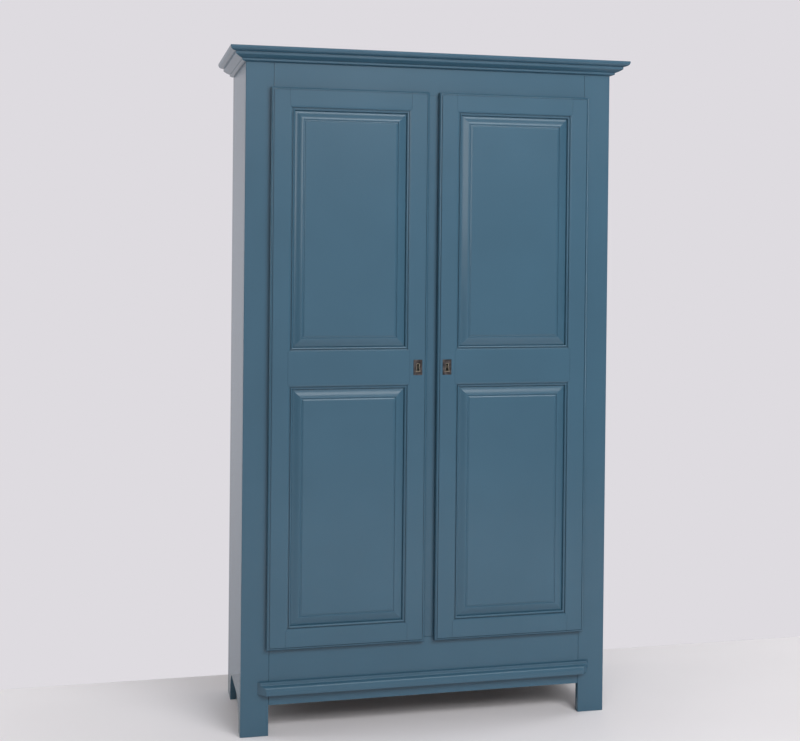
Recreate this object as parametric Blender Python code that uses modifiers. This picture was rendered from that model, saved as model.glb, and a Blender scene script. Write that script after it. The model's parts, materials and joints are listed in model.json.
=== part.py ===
"""Painted two-door wardrobe with panelled lipped doors, a moulded cornice and straight feet.

Metres, +Z up, the doors face -Y. The origin is on the floor under the centre of the whole box.
A side of -1 is the left of the wardrobe as one faces it, and +1 is the right.
"""
import math

import bmesh
import bpy
from mathutils import Matrix, Vector

# Whole wardrobe
HEIGHT = 1.950
CARCASS_WIDTH = 1.090
CARCASS_DEPTH = 0.380
FIT = 0.0003
OVERRUN = 0.002

# Face frame and feet
FRAME_THICKNESS = 0.020
STILE_WIDTH = 0.080
POST_WIDTH = 0.048
FOOT_HEIGHT = 0.087
BOTTOM_RAIL_HEIGHT = 0.1685
TOP_RAIL_HEIGHT = 0.100
TENON_LENGTH = 0.030
TENON_THICKNESS = 0.007
TENON_SHOULDER = 0.015

# Side panels, with an arch between the front and the rear foot
SIDE_THICKNESS = 0.018
FRONT_FOOT_DEPTH = 0.045
REAR_FOOT_DEPTH = 0.078
ARCH_FRONT_RUN = 0.090
ARCH_REAR_RUN = 0.040
ARCH_DROP = 0.064
ARCH_STEPS = 8
DADO_DEPTH = 0.006

# Back frame and its lapped boards
BACK_FRAME_THICKNESS = 0.020
BACK_STILE_WIDTH = 0.060
BACK_RAIL_HEIGHT = 0.070
BACK_BOARD_COUNT = 3
BACK_BOARD_THICKNESS = 0.008
BACK_BOARD_LAP = 0.010
BACK_GROOVE_DEPTH = 0.008

# Boards inside
TOP_BOARD_THICKNESS = 0.018
FLOOR_BOARD_THICKNESS = 0.018
FLOOR_BOARD_LIP = 0.006
SHELF_THICKNESS = 0.018
SHELF_TOP = 1.585
CLEAT_HEIGHT = 0.030
CLEAT_THICKNESS = 0.020
CLEAT_INSET = 0.010

# Peg rail and turned pegs
PEG_RAIL_HEIGHT = 0.070
PEG_RAIL_THICKNESS = 0.018
PEG_RAIL_CENTRE = 1.480
PEG_COUNT = 4
PEG_SHANK_RADIUS = 0.006
PEG_NECK_RADIUS = 0.0065
PEG_HEAD_RADIUS = 0.0115
PEG_COLLAR_RADIUS = 0.011
PEG_COLLAR_LENGTH = 0.005
PEG_NECK_LENGTH = 0.045
PEG_HEAD_LENGTH = 0.018
PEG_SHANK_LENGTH = 0.016
PEG_SIDES = 18

# Cornice, from its top fillet down to the carcass
CORNICE_HEIGHT = 0.040
CORNICE_PROJECTION = 0.047
CORNICE_TOP_FILLET = 0.007
CORNICE_OVOLO_WIDTH = 0.015
CORNICE_OVOLO_DROP = 0.0075
CORNICE_STEP = 0.002
CORNICE_BAND = 0.006
CORNICE_COVE_WIDTH = 0.018
CORNICE_COVE_DROP = 0.010
CORNICE_BEAD = 0.006
CORNICE_FOOT_WIDTH = 0.003

# Moulding planted on the bottom rail
PLINTH_BOTTOM = 0.121
PLINTH_END_MARGIN = 0.048
PLINTH_PROJECTION = 0.023
PLINTH_NOSE_HEIGHT = 0.0125
PLINTH_STEP = 0.0015
PLINTH_OVOLO_WIDTH = 0.007
PLINTH_OVOLO_RISE = 0.0095
PLINTH_QUIRK = 0.0012
PLINTH_COVE_WIDTH = 0.0085
PLINTH_COVE_RISE = 0.0075
PLINTH_TOP_FILLET = 0.0038
MOULDING_STEPS = 5

# Doors, with a moulded lip that overlaps the face frame
LIP_OVERLAP = 0.009
LIP_THICKNESS = 0.018
LIP_GAP = 0.002
DOOR_BODY_DEPTH = 0.008
DOOR_CLEARANCE = 0.0025
DOOR_STILE_WIDTH = 0.067
DOOR_TOP_RAIL = 0.065
DOOR_MIDDLE_RAIL = 0.120
DOOR_BOTTOM_RAIL = 0.068
MIDDLE_RAIL_CENTRE = 1.045
DOOR_TENON_LENGTH = 0.018
DOOR_TENON_SHOULDER = 0.016
EDGE_OVOLO_WIDTH = 0.0075
EDGE_OVOLO_DEPTH = 0.006
EDGE_STEP = 0.001

# Moulding on the inner edges of each door frame
STICK_FACET_WIDTH = 0.0055
STICK_FACET_DEPTH = 0.002
STICK_QUIRK = 0.0015
STICK_BEAD_WIDTH = 0.008
STICK_BEAD_DEPTH = 0.005
STICK_LAND = 0.001
STICK_STEPS = 4
MITRE_MARGIN = 0.001
GROOVE_DEPTH = 0.008

# Raised panels, from the tongue in the groove to the flat field
TONGUE_THICKNESS = 0.005
PANEL_ROLL_WIDTH = 0.005
PANEL_ROLL_RISE = 0.0025
PANEL_HOLLOW_WIDTH = 0.011
PANEL_HOLLOW_FALL = 0.001
PANEL_OGEE_WIDTH = 0.009
PANEL_OGEE_RISE = 0.0045
PANEL_QUIRK_WIDTH = 0.0045
PANEL_QUIRK_FALL = 0.0012
PANEL_FILLET_WIDTH = 0.0035
PANEL_FILLET_RISE = 0.0025

# Cranked butt hinges, let into the door behind its lip
HINGE_COUNT = 2
HINGE_LENGTH = 0.075
HINGE_END_MARGIN = 0.200
HINGE_INSET = 0.003
HINGE_STANDOFF = 0.004
HINGE_LEAF_THICKNESS = 0.0016
HINGE_BARREL_RADIUS = 0.003
HINGE_PIN_RADIUS = 0.0014
HINGE_PIN_CLEARANCE = 0.0001
HINGE_FRAME_REACH = 0.018
HINGE_DOOR_REACH = 0.006
HINGE_POCKET_CLEARANCE = 0.0006
HINGE_BARREL_GAP = 0.0004
HINGE_SIDES = 16

# Locks, their bolts and keyhole plates
KEY_SETBACK = 0.0285
KEY_DROP = 0.001
CASE_WIDTH = 0.038
CASE_BELOW_KEY = 0.028
CASE_ABOVE_KEY = 0.032
CASE_THICKNESS = 0.012
CASE_LET_IN = 0.005
BOLT_THICKNESS = 0.005
BOLT_HEIGHT = 0.014
BOLT_LENGTH = 0.034
BOLT_RISE = 0.016
BOLT_TRAVEL = 0.010
BOLT_POCKET_CLEARANCE = 0.001
KEY_CHAMBER_WIDTH = 0.008
KEY_CHAMBER_BELOW = 0.010
KEY_CHAMBER_WALL = 0.003
PLATE_WIDTH = 0.026
PLATE_HEIGHT = 0.044
PLATE_THICKNESS = 0.002
PLATE_BEVEL = 0.0015
PLATE_RIM = 0.0008
KEYHOLE_RADIUS = 0.0042
KEYHOLE_RISE = 0.007
KEYHOLE_SKIRT_TOP = 0.005
KEYHOLE_SKIRT_FOOT = 0.011
KEYHOLE_DROP = 0.012
KEYHOLE_STEPS = 10
KEYHOLE_RELIEF = 0.001

# Levels and depths that follow from the sizes above
FACE_Y = (CORNICE_PROJECTION - CARCASS_DEPTH) / 2
BACK_Y = FACE_Y + CARCASS_DEPTH
FRAME_BACK_Y = FACE_Y + FRAME_THICKNESS
BACK_FRAME_Y = BACK_Y - BACK_FRAME_THICKNESS
HALF_WIDTH = CARCASS_WIDTH / 2
CARCASS_TOP = HEIGHT - TOP_BOARD_THICKNESS - FIT
SIDE_INNER_X = HALF_WIDTH - SIDE_THICKNESS
OPENING_OUTER_X = HALF_WIDTH - STILE_WIDTH
OPENING_INNER_X = POST_WIDTH / 2
OPENING_BOTTOM = FOOT_HEIGHT + BOTTOM_RAIL_HEIGHT
OPENING_TOP = CARCASS_TOP - TOP_RAIL_HEIGHT
FLOOR_TOP = OPENING_BOTTOM - FLOOR_BOARD_LIP
PEG_RAIL_FRONT_Y = BACK_FRAME_Y - FIT - PEG_RAIL_THICKNESS

DOOR_WIDTH = OPENING_OUTER_X - OPENING_INNER_X + 2 * LIP_OVERLAP
DOOR_HEIGHT = OPENING_TOP - OPENING_BOTTOM + 2 * LIP_OVERLAP
DOOR_EDGE_X = OPENING_OUTER_X + LIP_OVERLAP
DOOR_BOTTOM = OPENING_BOTTOM - LIP_OVERLAP
LIP_BACK_Y = FACE_Y - LIP_GAP
DOOR_FRONT_Y = LIP_BACK_Y - LIP_THICKNESS
DOOR_BACK_Y = LIP_BACK_Y + DOOR_BODY_DEPTH
DOOR_THICKNESS = DOOR_BACK_Y - DOOR_FRONT_Y
BODY_INSET = LIP_OVERLAP + DOOR_CLEARANCE
STICK_WIDTH = STICK_FACET_WIDTH + STICK_BEAD_WIDTH
STICK_DEPTH = STICK_FACET_DEPTH + STICK_QUIRK + STICK_BEAD_DEPTH
GROOVE_FRONT_Y = DOOR_FRONT_Y + STICK_DEPTH + STICK_LAND
GROOVE_BACK_Y = GROOVE_FRONT_Y + TONGUE_THICKNESS + 2 * FIT
MITRE_WIDTH = STICK_WIDTH + MITRE_MARGIN
DOOR_STILE_FLAT = DOOR_STILE_WIDTH - MITRE_WIDTH
MIDDLE_RAIL_LOW = MIDDLE_RAIL_CENTRE - DOOR_MIDDLE_RAIL / 2 - DOOR_BOTTOM
MIDDLE_RAIL_HIGH = MIDDLE_RAIL_LOW + DOOR_MIDDLE_RAIL
PANEL_OPENINGS = {
    "lower": (DOOR_BOTTOM_RAIL, MIDDLE_RAIL_LOW),
    "upper": (MIDDLE_RAIL_HIGH, DOOR_HEIGHT - DOOR_TOP_RAIL),
}

KEY_HEIGHT = MIDDLE_RAIL_CENTRE - KEY_DROP
HINGE_X = DOOR_EDGE_X - HINGE_INSET
HINGE_Y = FACE_Y - HINGE_STANDOFF
CASE_FRONT_Y = DOOR_BACK_Y - CASE_LET_IN
CASE_BACK_Y = CASE_FRONT_Y + CASE_THICKNESS
BOLT_Y = (CASE_FRONT_Y + CASE_BACK_Y) / 2
BOLT_Z = KEY_HEIGHT + BOLT_RISE
BOLT_POCKET_DEPTH = BOLT_TRAVEL - DOOR_CLEARANCE - FIT + BOLT_POCKET_CLEARANCE

SIDES = (("left", -1), ("right", 1))


def clear_scene():
    """Remove the objects that the file opened with."""
    for old in list(bpy.data.objects):
        bpy.data.objects.remove(old, do_unlink=True)


def make_collection(name):
    """Make a collection under the scene and return it."""
    group = bpy.data.collections.new(name)
    bpy.context.scene.collection.children.link(group)
    return group


def make_material(name, colour, roughness, metallic):
    """Make a plain Principled material."""
    material = bpy.data.materials.new(name)
    material.use_nodes = True
    shader = material.node_tree.nodes["Principled BSDF"]
    shader.inputs["Base Color"].default_value = (*colour, 1.0)
    shader.inputs["Roughness"].default_value = roughness
    shader.inputs["Metallic"].default_value = metallic
    material.diffuse_color = (*colour, 1.0)
    return material


clear_scene()
WARDROBE = make_collection("wardrobe")
CUTTERS = make_collection("cutters")
PAINT = make_material("blue_paint", (0.070, 0.128, 0.188), 0.35, 0.0)
BARE_WOOD = make_material("bare_wood", (0.520, 0.330, 0.170), 0.60, 0.0)
PEG_WOOD = make_material("peg_wood", (0.400, 0.220, 0.100), 0.45, 0.0)
BRASS = make_material("aged_brass", (0.250, 0.160, 0.070), 0.40, 1.0)
STEEL = make_material("lock_steel", (0.350, 0.350, 0.340), 0.45, 1.0)


def add_mesh(name, bm, material=None, parent=None, location=(0.0, 0.0, 0.0)):
    """Store a mesh as a piece, or as a hidden cutter where it has no material."""
    bmesh.ops.recalc_face_normals(bm, faces=bm.faces)
    mesh = bpy.data.meshes.new(name)
    bm.to_mesh(mesh)
    bm.free()
    piece = bpy.data.objects.new(name, mesh)
    piece.location = location
    if material is None:
        CUTTERS.objects.link(piece)
        piece.hide_render = True
        piece.display_type = "WIRE"
    else:
        WARDROBE.objects.link(piece)
        mesh.materials.append(material)
    if parent is not None:
        piece.parent = parent
        piece.matrix_parent_inverse = Matrix.Translation(-parent.location)
    return piece


def box_mesh(first, second):
    """Return a box between two opposite corners, given in any order."""
    low = Vector(min(a, b) for a, b in zip(first, second))
    high = Vector(max(a, b) for a, b in zip(first, second))
    bm = bmesh.new()
    bmesh.ops.create_cube(bm, size=1.0)
    bmesh.ops.scale(bm, verts=bm.verts, vec=high - low)
    bmesh.ops.translate(bm, verts=bm.verts, vec=(low + high) / 2)
    return bm


def add_box(name, first, second, material=None, parent=None):
    """Add a box piece or cutter."""
    return add_mesh(name, box_mesh(first, second), material, parent)


def prism_mesh(outline, length, place):
    """Extrude a flat outline along its own +Z and move it with the matrix place."""
    curve = bpy.data.curves.new("outline", "CURVE")
    curve.dimensions = "2D"
    curve.fill_mode = "BOTH"
    curve.extrude = length / 2
    spline = curve.splines.new("POLY")
    spline.points.add(len(outline) - 1)
    for point, (x, y) in zip(spline.points, outline):
        point.co = (x, y, 0.0, 1.0)
    spline.use_cyclic_u = True
    guide = bpy.data.objects.new("outline", curve)
    CUTTERS.objects.link(guide)
    depsgraph = bpy.context.evaluated_depsgraph_get()
    mesh = bpy.data.meshes.new_from_object(guide.evaluated_get(depsgraph))
    bpy.data.objects.remove(guide, do_unlink=True)
    bm = bmesh.new()
    bm.from_mesh(mesh)
    bpy.data.meshes.remove(mesh)
    bmesh.ops.remove_doubles(bm, verts=bm.verts, dist=FIT / 10)
    bmesh.ops.translate(bm, verts=bm.verts, vec=(0.0, 0.0, length / 2))
    bmesh.ops.transform(bm, matrix=place, verts=bm.verts)
    return bm


def axes_matrix(across, up, along, origin):
    """Return the matrix that takes an outline's X, Y and Z to the three given directions."""
    turn = Matrix((across, up, along)).transposed().to_4x4()
    return Matrix.Translation(origin) @ turn


def cut(piece, cutter, operation="DIFFERENCE"):
    """Cut, join or trim a piece with another mesh."""
    step = piece.modifiers.new(cutter.name, "BOOLEAN")
    step.operation = operation
    step.solver = "EXACT"
    step.object = cutter
    return piece


def quarter_arc(width, height, steps):
    """Return even steps round a quarter ellipse, from flat to upright, without its start."""
    angles = [math.pi / 2 * step / steps for step in range(1, steps + 1)]
    return [(width * math.sin(angle), height * (1 - math.cos(angle))) for angle in angles]


def step_face(bm, face, profile):
    """Inset and raise one face through a profile of (inset, rise) places."""
    last_inset, last_rise = 0.0, 0.0
    for inset, rise in profile:
        bmesh.ops.inset_individual(bm, faces=[face], thickness=inset - last_inset,
                                   depth=rise - last_rise, use_even_offset=True)
        last_inset, last_rise = inset, rise


def face_towards(bm, direction):
    """Return the face whose normal points most nearly along a direction."""
    bm.normal_update()
    bm.faces.ensure_lookup_table()
    return max(bm.faces, key=lambda face: face.normal.dot(Vector(direction)))


def make_front_frame():
    """Make the two stiles that end in the front feet, the two rails and the centre post."""
    tenon_y = FACE_Y + (FRAME_THICKNESS - TENON_THICKNESS) / 2
    bands = {"top": (OPENING_TOP, CARCASS_TOP), "bottom": (FOOT_HEIGHT, OPENING_BOTTOM)}
    rails = {}
    for label, (low, high) in bands.items():
        rail_end = OPENING_OUTER_X - FIT
        rails[label] = add_box(f"{label}_front_rail", (-rail_end, FACE_Y, low),
                               (rail_end, FRAME_BACK_Y, high), PAINT)
        tenon_end = OPENING_OUTER_X + TENON_LENGTH
        cut(rails[label], add_box(
            f"{label}_front_rail_tenons", (-tenon_end, tenon_y, low + TENON_SHOULDER),
            (tenon_end, tenon_y + TENON_THICKNESS, high - TENON_SHOULDER)), "UNION")
    for label, side in SIDES:
        stile = add_box(f"{label}_front_stile", (side * HALF_WIDTH, FACE_Y, 0.0),
                        (side * OPENING_OUTER_X, FRAME_BACK_Y, CARCASS_TOP), PAINT)
        for level, (low, high) in bands.items():
            cut(stile, add_box(
                f"{label}_{level}_stile_mortise",
                (side * (OPENING_OUTER_X - OVERRUN), tenon_y - FIT, low + TENON_SHOULDER - FIT),
                (side * (OPENING_OUTER_X + TENON_LENGTH + FIT), tenon_y + TENON_THICKNESS + FIT,
                 high - TENON_SHOULDER + FIT)))
    make_centre_post(rails, tenon_y)


def make_centre_post(rails, tenon_y):
    """Make the post between the doors, with a pocket for each lock's bolt."""
    post = add_box("centre_post", (-OPENING_INNER_X, FACE_Y, OPENING_BOTTOM + FIT),
                   (OPENING_INNER_X, FRAME_BACK_Y, OPENING_TOP - FIT), PAINT)
    half = OPENING_INNER_X - TENON_SHOULDER
    cut(post, add_box("centre_post_tenons", (-half, tenon_y, OPENING_BOTTOM - TENON_LENGTH),
                      (half, tenon_y + TENON_THICKNESS, OPENING_TOP + TENON_LENGTH)), "UNION")
    ends = {"bottom": (OPENING_BOTTOM - TENON_LENGTH - FIT, OPENING_BOTTOM + OVERRUN),
            "top": (OPENING_TOP - OVERRUN, OPENING_TOP + TENON_LENGTH + FIT)}
    for label, (low, high) in ends.items():
        cut(rails[label], add_box(f"{label}_post_mortise", (-half - FIT, tenon_y - FIT, low),
                                  (half + FIT, tenon_y + TENON_THICKNESS + FIT, high)))
    reach = BOLT_THICKNESS / 2 + BOLT_POCKET_CLEARANCE
    rise = BOLT_HEIGHT / 2 + BOLT_POCKET_CLEARANCE
    for label, side in SIDES:
        cut(post, add_box(
            f"{label}_bolt_pocket",
            (side * (OPENING_INNER_X + OVERRUN), BOLT_Y - reach, BOLT_Z - rise),
            (side * (OPENING_INNER_X - BOLT_POCKET_DEPTH), BOLT_Y + reach, BOLT_Z + rise)))


def side_outline():
    """Return the side panel's outline in depth and height, with the arch between its feet."""
    front = FRAME_BACK_Y + FIT
    arch_front = FACE_Y + FRONT_FOOT_DEPTH
    arch_rear = BACK_Y - REAR_FOOT_DEPTH
    spring = FOOT_HEIGHT - ARCH_DROP
    points = [(front, 0.0), (arch_front, 0.0), (arch_front, spring)]
    for run, rise in quarter_arc(1.0, 1.0, ARCH_STEPS):
        points.append((arch_front + ARCH_FRONT_RUN * rise, spring + ARCH_DROP * run))
    for run, rise in reversed(quarter_arc(1.0, 1.0, ARCH_STEPS)):
        points.append((arch_rear - ARCH_REAR_RUN * rise, spring + ARCH_DROP * run))
    points += [(arch_rear, spring), (arch_rear, 0.0), (BACK_Y, 0.0)]
    points += [(BACK_Y, CARCASS_TOP), (front, CARCASS_TOP)]
    return points


def make_sides():
    """Make the two side panels, with dados for the floor board."""
    for label, side in SIDES:
        place = axes_matrix((0, 1, 0), (0, 0, 1), (1, 0, 0),
                            (min(side * HALF_WIDTH, side * SIDE_INNER_X), 0.0, 0.0))
        panel = add_mesh(f"{label}_side_panel",
                         prism_mesh(side_outline(), SIDE_THICKNESS, place), PAINT)
        cut(panel, add_box(
            f"{label}_dado",
            (side * (SIDE_INNER_X - OVERRUN), FRAME_BACK_Y - OVERRUN,
             FLOOR_TOP - FLOOR_BOARD_THICKNESS - FIT),
            (side * (SIDE_INNER_X + DADO_DEPTH), BACK_FRAME_Y, FLOOR_TOP + FIT)))


def make_back():
    """Make the back frame, which ends in the rear feet, and the lapped boards it holds."""
    outer = SIDE_INNER_X - FIT
    inner = outer - BACK_STILE_WIDTH
    tenon_y = BACK_FRAME_Y + (BACK_FRAME_THICKNESS - TENON_THICKNESS) / 2
    bands = {"bottom": (FOOT_HEIGHT, FOOT_HEIGHT + BACK_RAIL_HEIGHT),
             "top": (CARCASS_TOP - BACK_RAIL_HEIGHT, CARCASS_TOP)}
    board_y = BACK_FRAME_Y + (BACK_FRAME_THICKNESS - BACK_BOARD_THICKNESS) / 2
    groove = add_box(
        "back_groove",
        (-inner - BACK_GROOVE_DEPTH, board_y - FIT, bands["bottom"][1] - BACK_GROOVE_DEPTH),
        (inner + BACK_GROOVE_DEPTH, board_y + BACK_BOARD_THICKNESS + FIT,
         bands["top"][0] + BACK_GROOVE_DEPTH))
    for level, (low, high) in bands.items():
        rail = add_box(f"{level}_back_rail", (-inner + FIT, BACK_FRAME_Y, low),
                       (inner - FIT, BACK_Y, high), BARE_WOOD)
        cut(rail, add_box(
            f"{level}_back_rail_tenons", (-inner - TENON_LENGTH, tenon_y, low + TENON_SHOULDER),
            (inner + TENON_LENGTH, tenon_y + TENON_THICKNESS, high - TENON_SHOULDER)), "UNION")
        cut(rail, groove)
    for label, side in SIDES:
        stile = add_box(f"{label}_rear_stile", (side * outer, BACK_FRAME_Y, 0.0),
                        (side * inner, BACK_Y, CARCASS_TOP), BARE_WOOD)
        cut(stile, groove)
        for level, (low, high) in bands.items():
            cut(stile, add_box(
                f"{label}_{level}_back_mortise",
                (side * (inner - OVERRUN), tenon_y - FIT, low + TENON_SHOULDER - FIT),
                (side * (inner + TENON_LENGTH + FIT), tenon_y + TENON_THICKNESS + FIT,
                 high - TENON_SHOULDER + FIT)))
    make_back_boards(inner + BACK_GROOVE_DEPTH - FIT, board_y,
                     bands["bottom"][1] - BACK_GROOVE_DEPTH + FIT,
                     bands["top"][0] + BACK_GROOVE_DEPTH - FIT)


def make_back_boards(half_span, board_y, low, high):
    """Make the upright back boards, each lapped over the next by half its thickness."""
    pitch = 2 * half_span / BACK_BOARD_COUNT
    middle_y = board_y + BACK_BOARD_THICKNESS / 2
    rear_y = board_y + BACK_BOARD_THICKNESS
    for index in range(BACK_BOARD_COUNT):
        left = -half_span + index * pitch
        right = left + pitch
        left_lap = 0.0 if index == 0 else BACK_BOARD_LAP
        right_lap = 0.0 if index == BACK_BOARD_COUNT - 1 else BACK_BOARD_LAP
        left_gap = 0.0 if index == 0 else FIT
        outline = [(left + left_gap, board_y), (right, board_y)]
        if right_lap:
            outline += [(right, middle_y + FIT), (right + right_lap, middle_y + FIT)]
        outline += [(right + right_lap, rear_y), (left + left_lap + left_gap, rear_y)]
        if left_lap:
            outline += [(left + left_lap + left_gap, middle_y), (left + left_gap, middle_y)]
        place = axes_matrix((1, 0, 0), (0, 1, 0), (0, 0, 1), (0.0, 0.0, low))
        add_mesh(f"back_board_{index + 1}", prism_mesh(outline, high - low, place), BARE_WOOD)


def make_boards():
    """Make the top board, the floor board, the hat shelf and the shelf's cleats."""
    add_box("top_board", (-HALF_WIDTH, FACE_Y, HEIGHT - TOP_BOARD_THICKNESS),
            (HALF_WIDTH, BACK_Y, HEIGHT), PAINT)
    floor_end = SIDE_INNER_X + DADO_DEPTH - FIT
    add_box("floor_board", (-floor_end, FRAME_BACK_Y + FIT, FLOOR_TOP - FLOOR_BOARD_THICKNESS),
            (floor_end, BACK_FRAME_Y - FIT, FLOOR_TOP), BARE_WOOD)
    shelf_end = SIDE_INNER_X - FIT
    shelf_low = SHELF_TOP - SHELF_THICKNESS
    add_box("hat_shelf", (-shelf_end, FRAME_BACK_Y + FIT, shelf_low),
            (shelf_end, BACK_FRAME_Y - FIT, SHELF_TOP), BARE_WOOD)
    for label, side in SIDES:
        add_box(f"{label}_shelf_cleat",
                (side * shelf_end, FRAME_BACK_Y + CLEAT_INSET, shelf_low - FIT),
                (side * (shelf_end - CLEAT_THICKNESS), BACK_FRAME_Y - CLEAT_INSET,
                 shelf_low - FIT - CLEAT_HEIGHT), BARE_WOOD)


def peg_profile():
    """Return the peg's turned half section, as (radius, distance along the peg)."""
    neck_start = PEG_COLLAR_LENGTH
    head_start = neck_start + PEG_NECK_LENGTH
    profile = [(0.0, -PEG_SHANK_LENGTH), (PEG_SHANK_RADIUS, -PEG_SHANK_LENGTH),
               (PEG_SHANK_RADIUS, FIT), (PEG_COLLAR_RADIUS, FIT), (PEG_COLLAR_RADIUS, neck_start),
               (PEG_NECK_RADIUS, neck_start), (PEG_NECK_RADIUS, head_start)]
    half_head = PEG_HEAD_LENGTH / 2
    swell = PEG_HEAD_RADIUS - PEG_NECK_RADIUS
    for run, rise in quarter_arc(half_head, swell, MOULDING_STEPS):
        profile.append((PEG_NECK_RADIUS + rise, head_start + run))
    for run, rise in quarter_arc(1.0, 1.0, MOULDING_STEPS):
        profile.append((PEG_HEAD_RADIUS * (1 - rise), head_start + half_head * (1 + run)))
    return profile


def make_pegs():
    """Make the peg rail on the back and its row of turned pegs."""
    half = SIDE_INNER_X - FIT
    rail = add_box("peg_rail",
                   (-half, PEG_RAIL_FRONT_Y, PEG_RAIL_CENTRE - PEG_RAIL_HEIGHT / 2),
                   (half, PEG_RAIL_FRONT_Y + PEG_RAIL_THICKNESS,
                    PEG_RAIL_CENTRE + PEG_RAIL_HEIGHT / 2), BARE_WOOD)
    profile = peg_profile()
    for index in range(PEG_COUNT):
        x = -half + 2 * half * (index + 1 / 2) / PEG_COUNT
        hole = bmesh.new()
        bmesh.ops.create_cone(hole, cap_ends=True, segments=PEG_SIDES,
                              radius1=PEG_SHANK_RADIUS + FIT, radius2=PEG_SHANK_RADIUS + FIT,
                              depth=2 * (PEG_SHANK_LENGTH + FIT))
        bmesh.ops.transform(hole, verts=hole.verts, matrix=axes_matrix(
            (1, 0, 0), (0, 0, 1), (0, -1, 0), (x, PEG_RAIL_FRONT_Y, PEG_RAIL_CENTRE)))
        cut(rail, add_mesh(f"peg_hole_{index + 1}", hole))
        bm = bmesh.new()
        points = [bm.verts.new((radius, 0.0, along)) for radius, along in reversed(profile)]
        for first, second in zip(points, points[1:]):
            bm.edges.new((first, second))
        peg = add_mesh(f"coat_peg_{index + 1}", bm, PEG_WOOD)
        peg.matrix_world = axes_matrix((1, 0, 0), (0, 0, 1), (0, -1, 0),
                                       (x, PEG_RAIL_FRONT_Y, PEG_RAIL_CENTRE))
        turn = peg.modifiers.new("turned", "SCREW")
        turn.steps = PEG_SIDES
        turn.render_steps = PEG_SIDES
        turn.use_merge_vertices = True
        turn.merge_threshold = FIT / 10
        turn.use_smooth_shade = True


def cornice_outline():
    """Return the cornice's outline as (projection, height above its foot)."""
    x = CORNICE_PROJECTION
    z = CORNICE_HEIGHT
    points = [(FIT, z), (x, z)]
    z -= CORNICE_TOP_FILLET
    points.append((x, z))
    for run, rise in quarter_arc(1.0, 1.0, MOULDING_STEPS):
        points.append((x - CORNICE_OVOLO_WIDTH * rise, z - CORNICE_OVOLO_DROP * run))
    x -= CORNICE_OVOLO_WIDTH + CORNICE_STEP
    z -= CORNICE_OVOLO_DROP
    points.append((x, z))
    z -= CORNICE_BAND
    points.append((x, z))
    for run, rise in quarter_arc(1.0, 1.0, MOULDING_STEPS):
        points.append((x - CORNICE_COVE_WIDTH * run, z - CORNICE_COVE_DROP * rise))
    x -= CORNICE_COVE_WIDTH
    z -= CORNICE_COVE_DROP + CORNICE_BEAD
    points.append((x, z))
    points += [(CORNICE_FOOT_WIDTH, 0.0), (FIT, 0.0)]
    return points


def mitre_end(bm, axis, end_sign, projection_axis, slope):
    """Slide the vertices of one end along an axis by their distance from the wall plane."""
    reach = max(end_sign * vert.co[axis] for vert in bm.verts)
    for vert in bm.verts:
        if end_sign * vert.co[axis] > reach - FIT:
            projection = abs(vert.co[projection_axis[0]] - projection_axis[1])
            vert.co[axis] += end_sign * slope * projection


def make_cornice():
    """Make the front length of the cornice and its two mitred returns."""
    outline = cornice_outline()
    foot = HEIGHT - CORNICE_HEIGHT
    front = prism_mesh(outline, CARCASS_WIDTH, axes_matrix(
        (0, -1, 0), (0, 0, 1), (1, 0, 0), (-HALF_WIDTH, FACE_Y, foot)))
    for end_sign in (-1, 1):
        mitre_end(front, 0, end_sign, (1, FACE_Y), 1.0)
    add_mesh("cornice_front", front, PAINT)
    for label, side in SIDES:
        end = prism_mesh(outline, CARCASS_DEPTH, axes_matrix(
            (side, 0, 0), (0, 0, 1), (0, 1, 0), (side * HALF_WIDTH, FACE_Y, foot)))
        mitre_end(end, 1, -1, (0, side * HALF_WIDTH), 1.0)
        for vert in end.verts:
            if vert.co.y < FACE_Y + FIT:
                vert.co.y += FIT
        add_mesh(f"cornice_{label}", end, PAINT)


def plinth_outline():
    """Return the bottom moulding's outline as (projection, height above its underside)."""
    x = PLINTH_PROJECTION
    z = PLINTH_NOSE_HEIGHT
    points = [(FIT, 0.0), (x, 0.0), (x, z)]
    x -= PLINTH_STEP
    z += PLINTH_STEP / 2
    points.append((x, z))
    for run, rise in reversed(quarter_arc(1.0, 1.0, MOULDING_STEPS)[:-1]):
        points.append((x - PLINTH_OVOLO_WIDTH * (1 - run), z + PLINTH_OVOLO_RISE * (1 - rise)))
    x -= PLINTH_OVOLO_WIDTH
    z += PLINTH_OVOLO_RISE
    points.append((x, z))
    x -= PLINTH_QUIRK
    points.append((x, z))
    for run, rise in quarter_arc(1.0, 1.0, MOULDING_STEPS):
        points.append((x - PLINTH_COVE_WIDTH * run, z + PLINTH_COVE_RISE * rise))
    x -= PLINTH_COVE_WIDTH
    z += PLINTH_COVE_RISE + PLINTH_TOP_FILLET
    points += [(x, z), (FIT, z)]
    return points


def make_plinth_moulding():
    """Make the moulding across the bottom rail, with its ends splayed back to the stiles."""
    half = HALF_WIDTH - PLINTH_END_MARGIN
    bm = prism_mesh(plinth_outline(), 2 * half, axes_matrix(
        (0, -1, 0), (0, 0, 1), (1, 0, 0), (-half, FACE_Y, PLINTH_BOTTOM)))
    for end_sign in (-1, 1):
        mitre_end(bm, 0, end_sign, (1, FACE_Y), -1.0)
    add_mesh("plinth_moulding", bm, PAINT)


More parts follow.
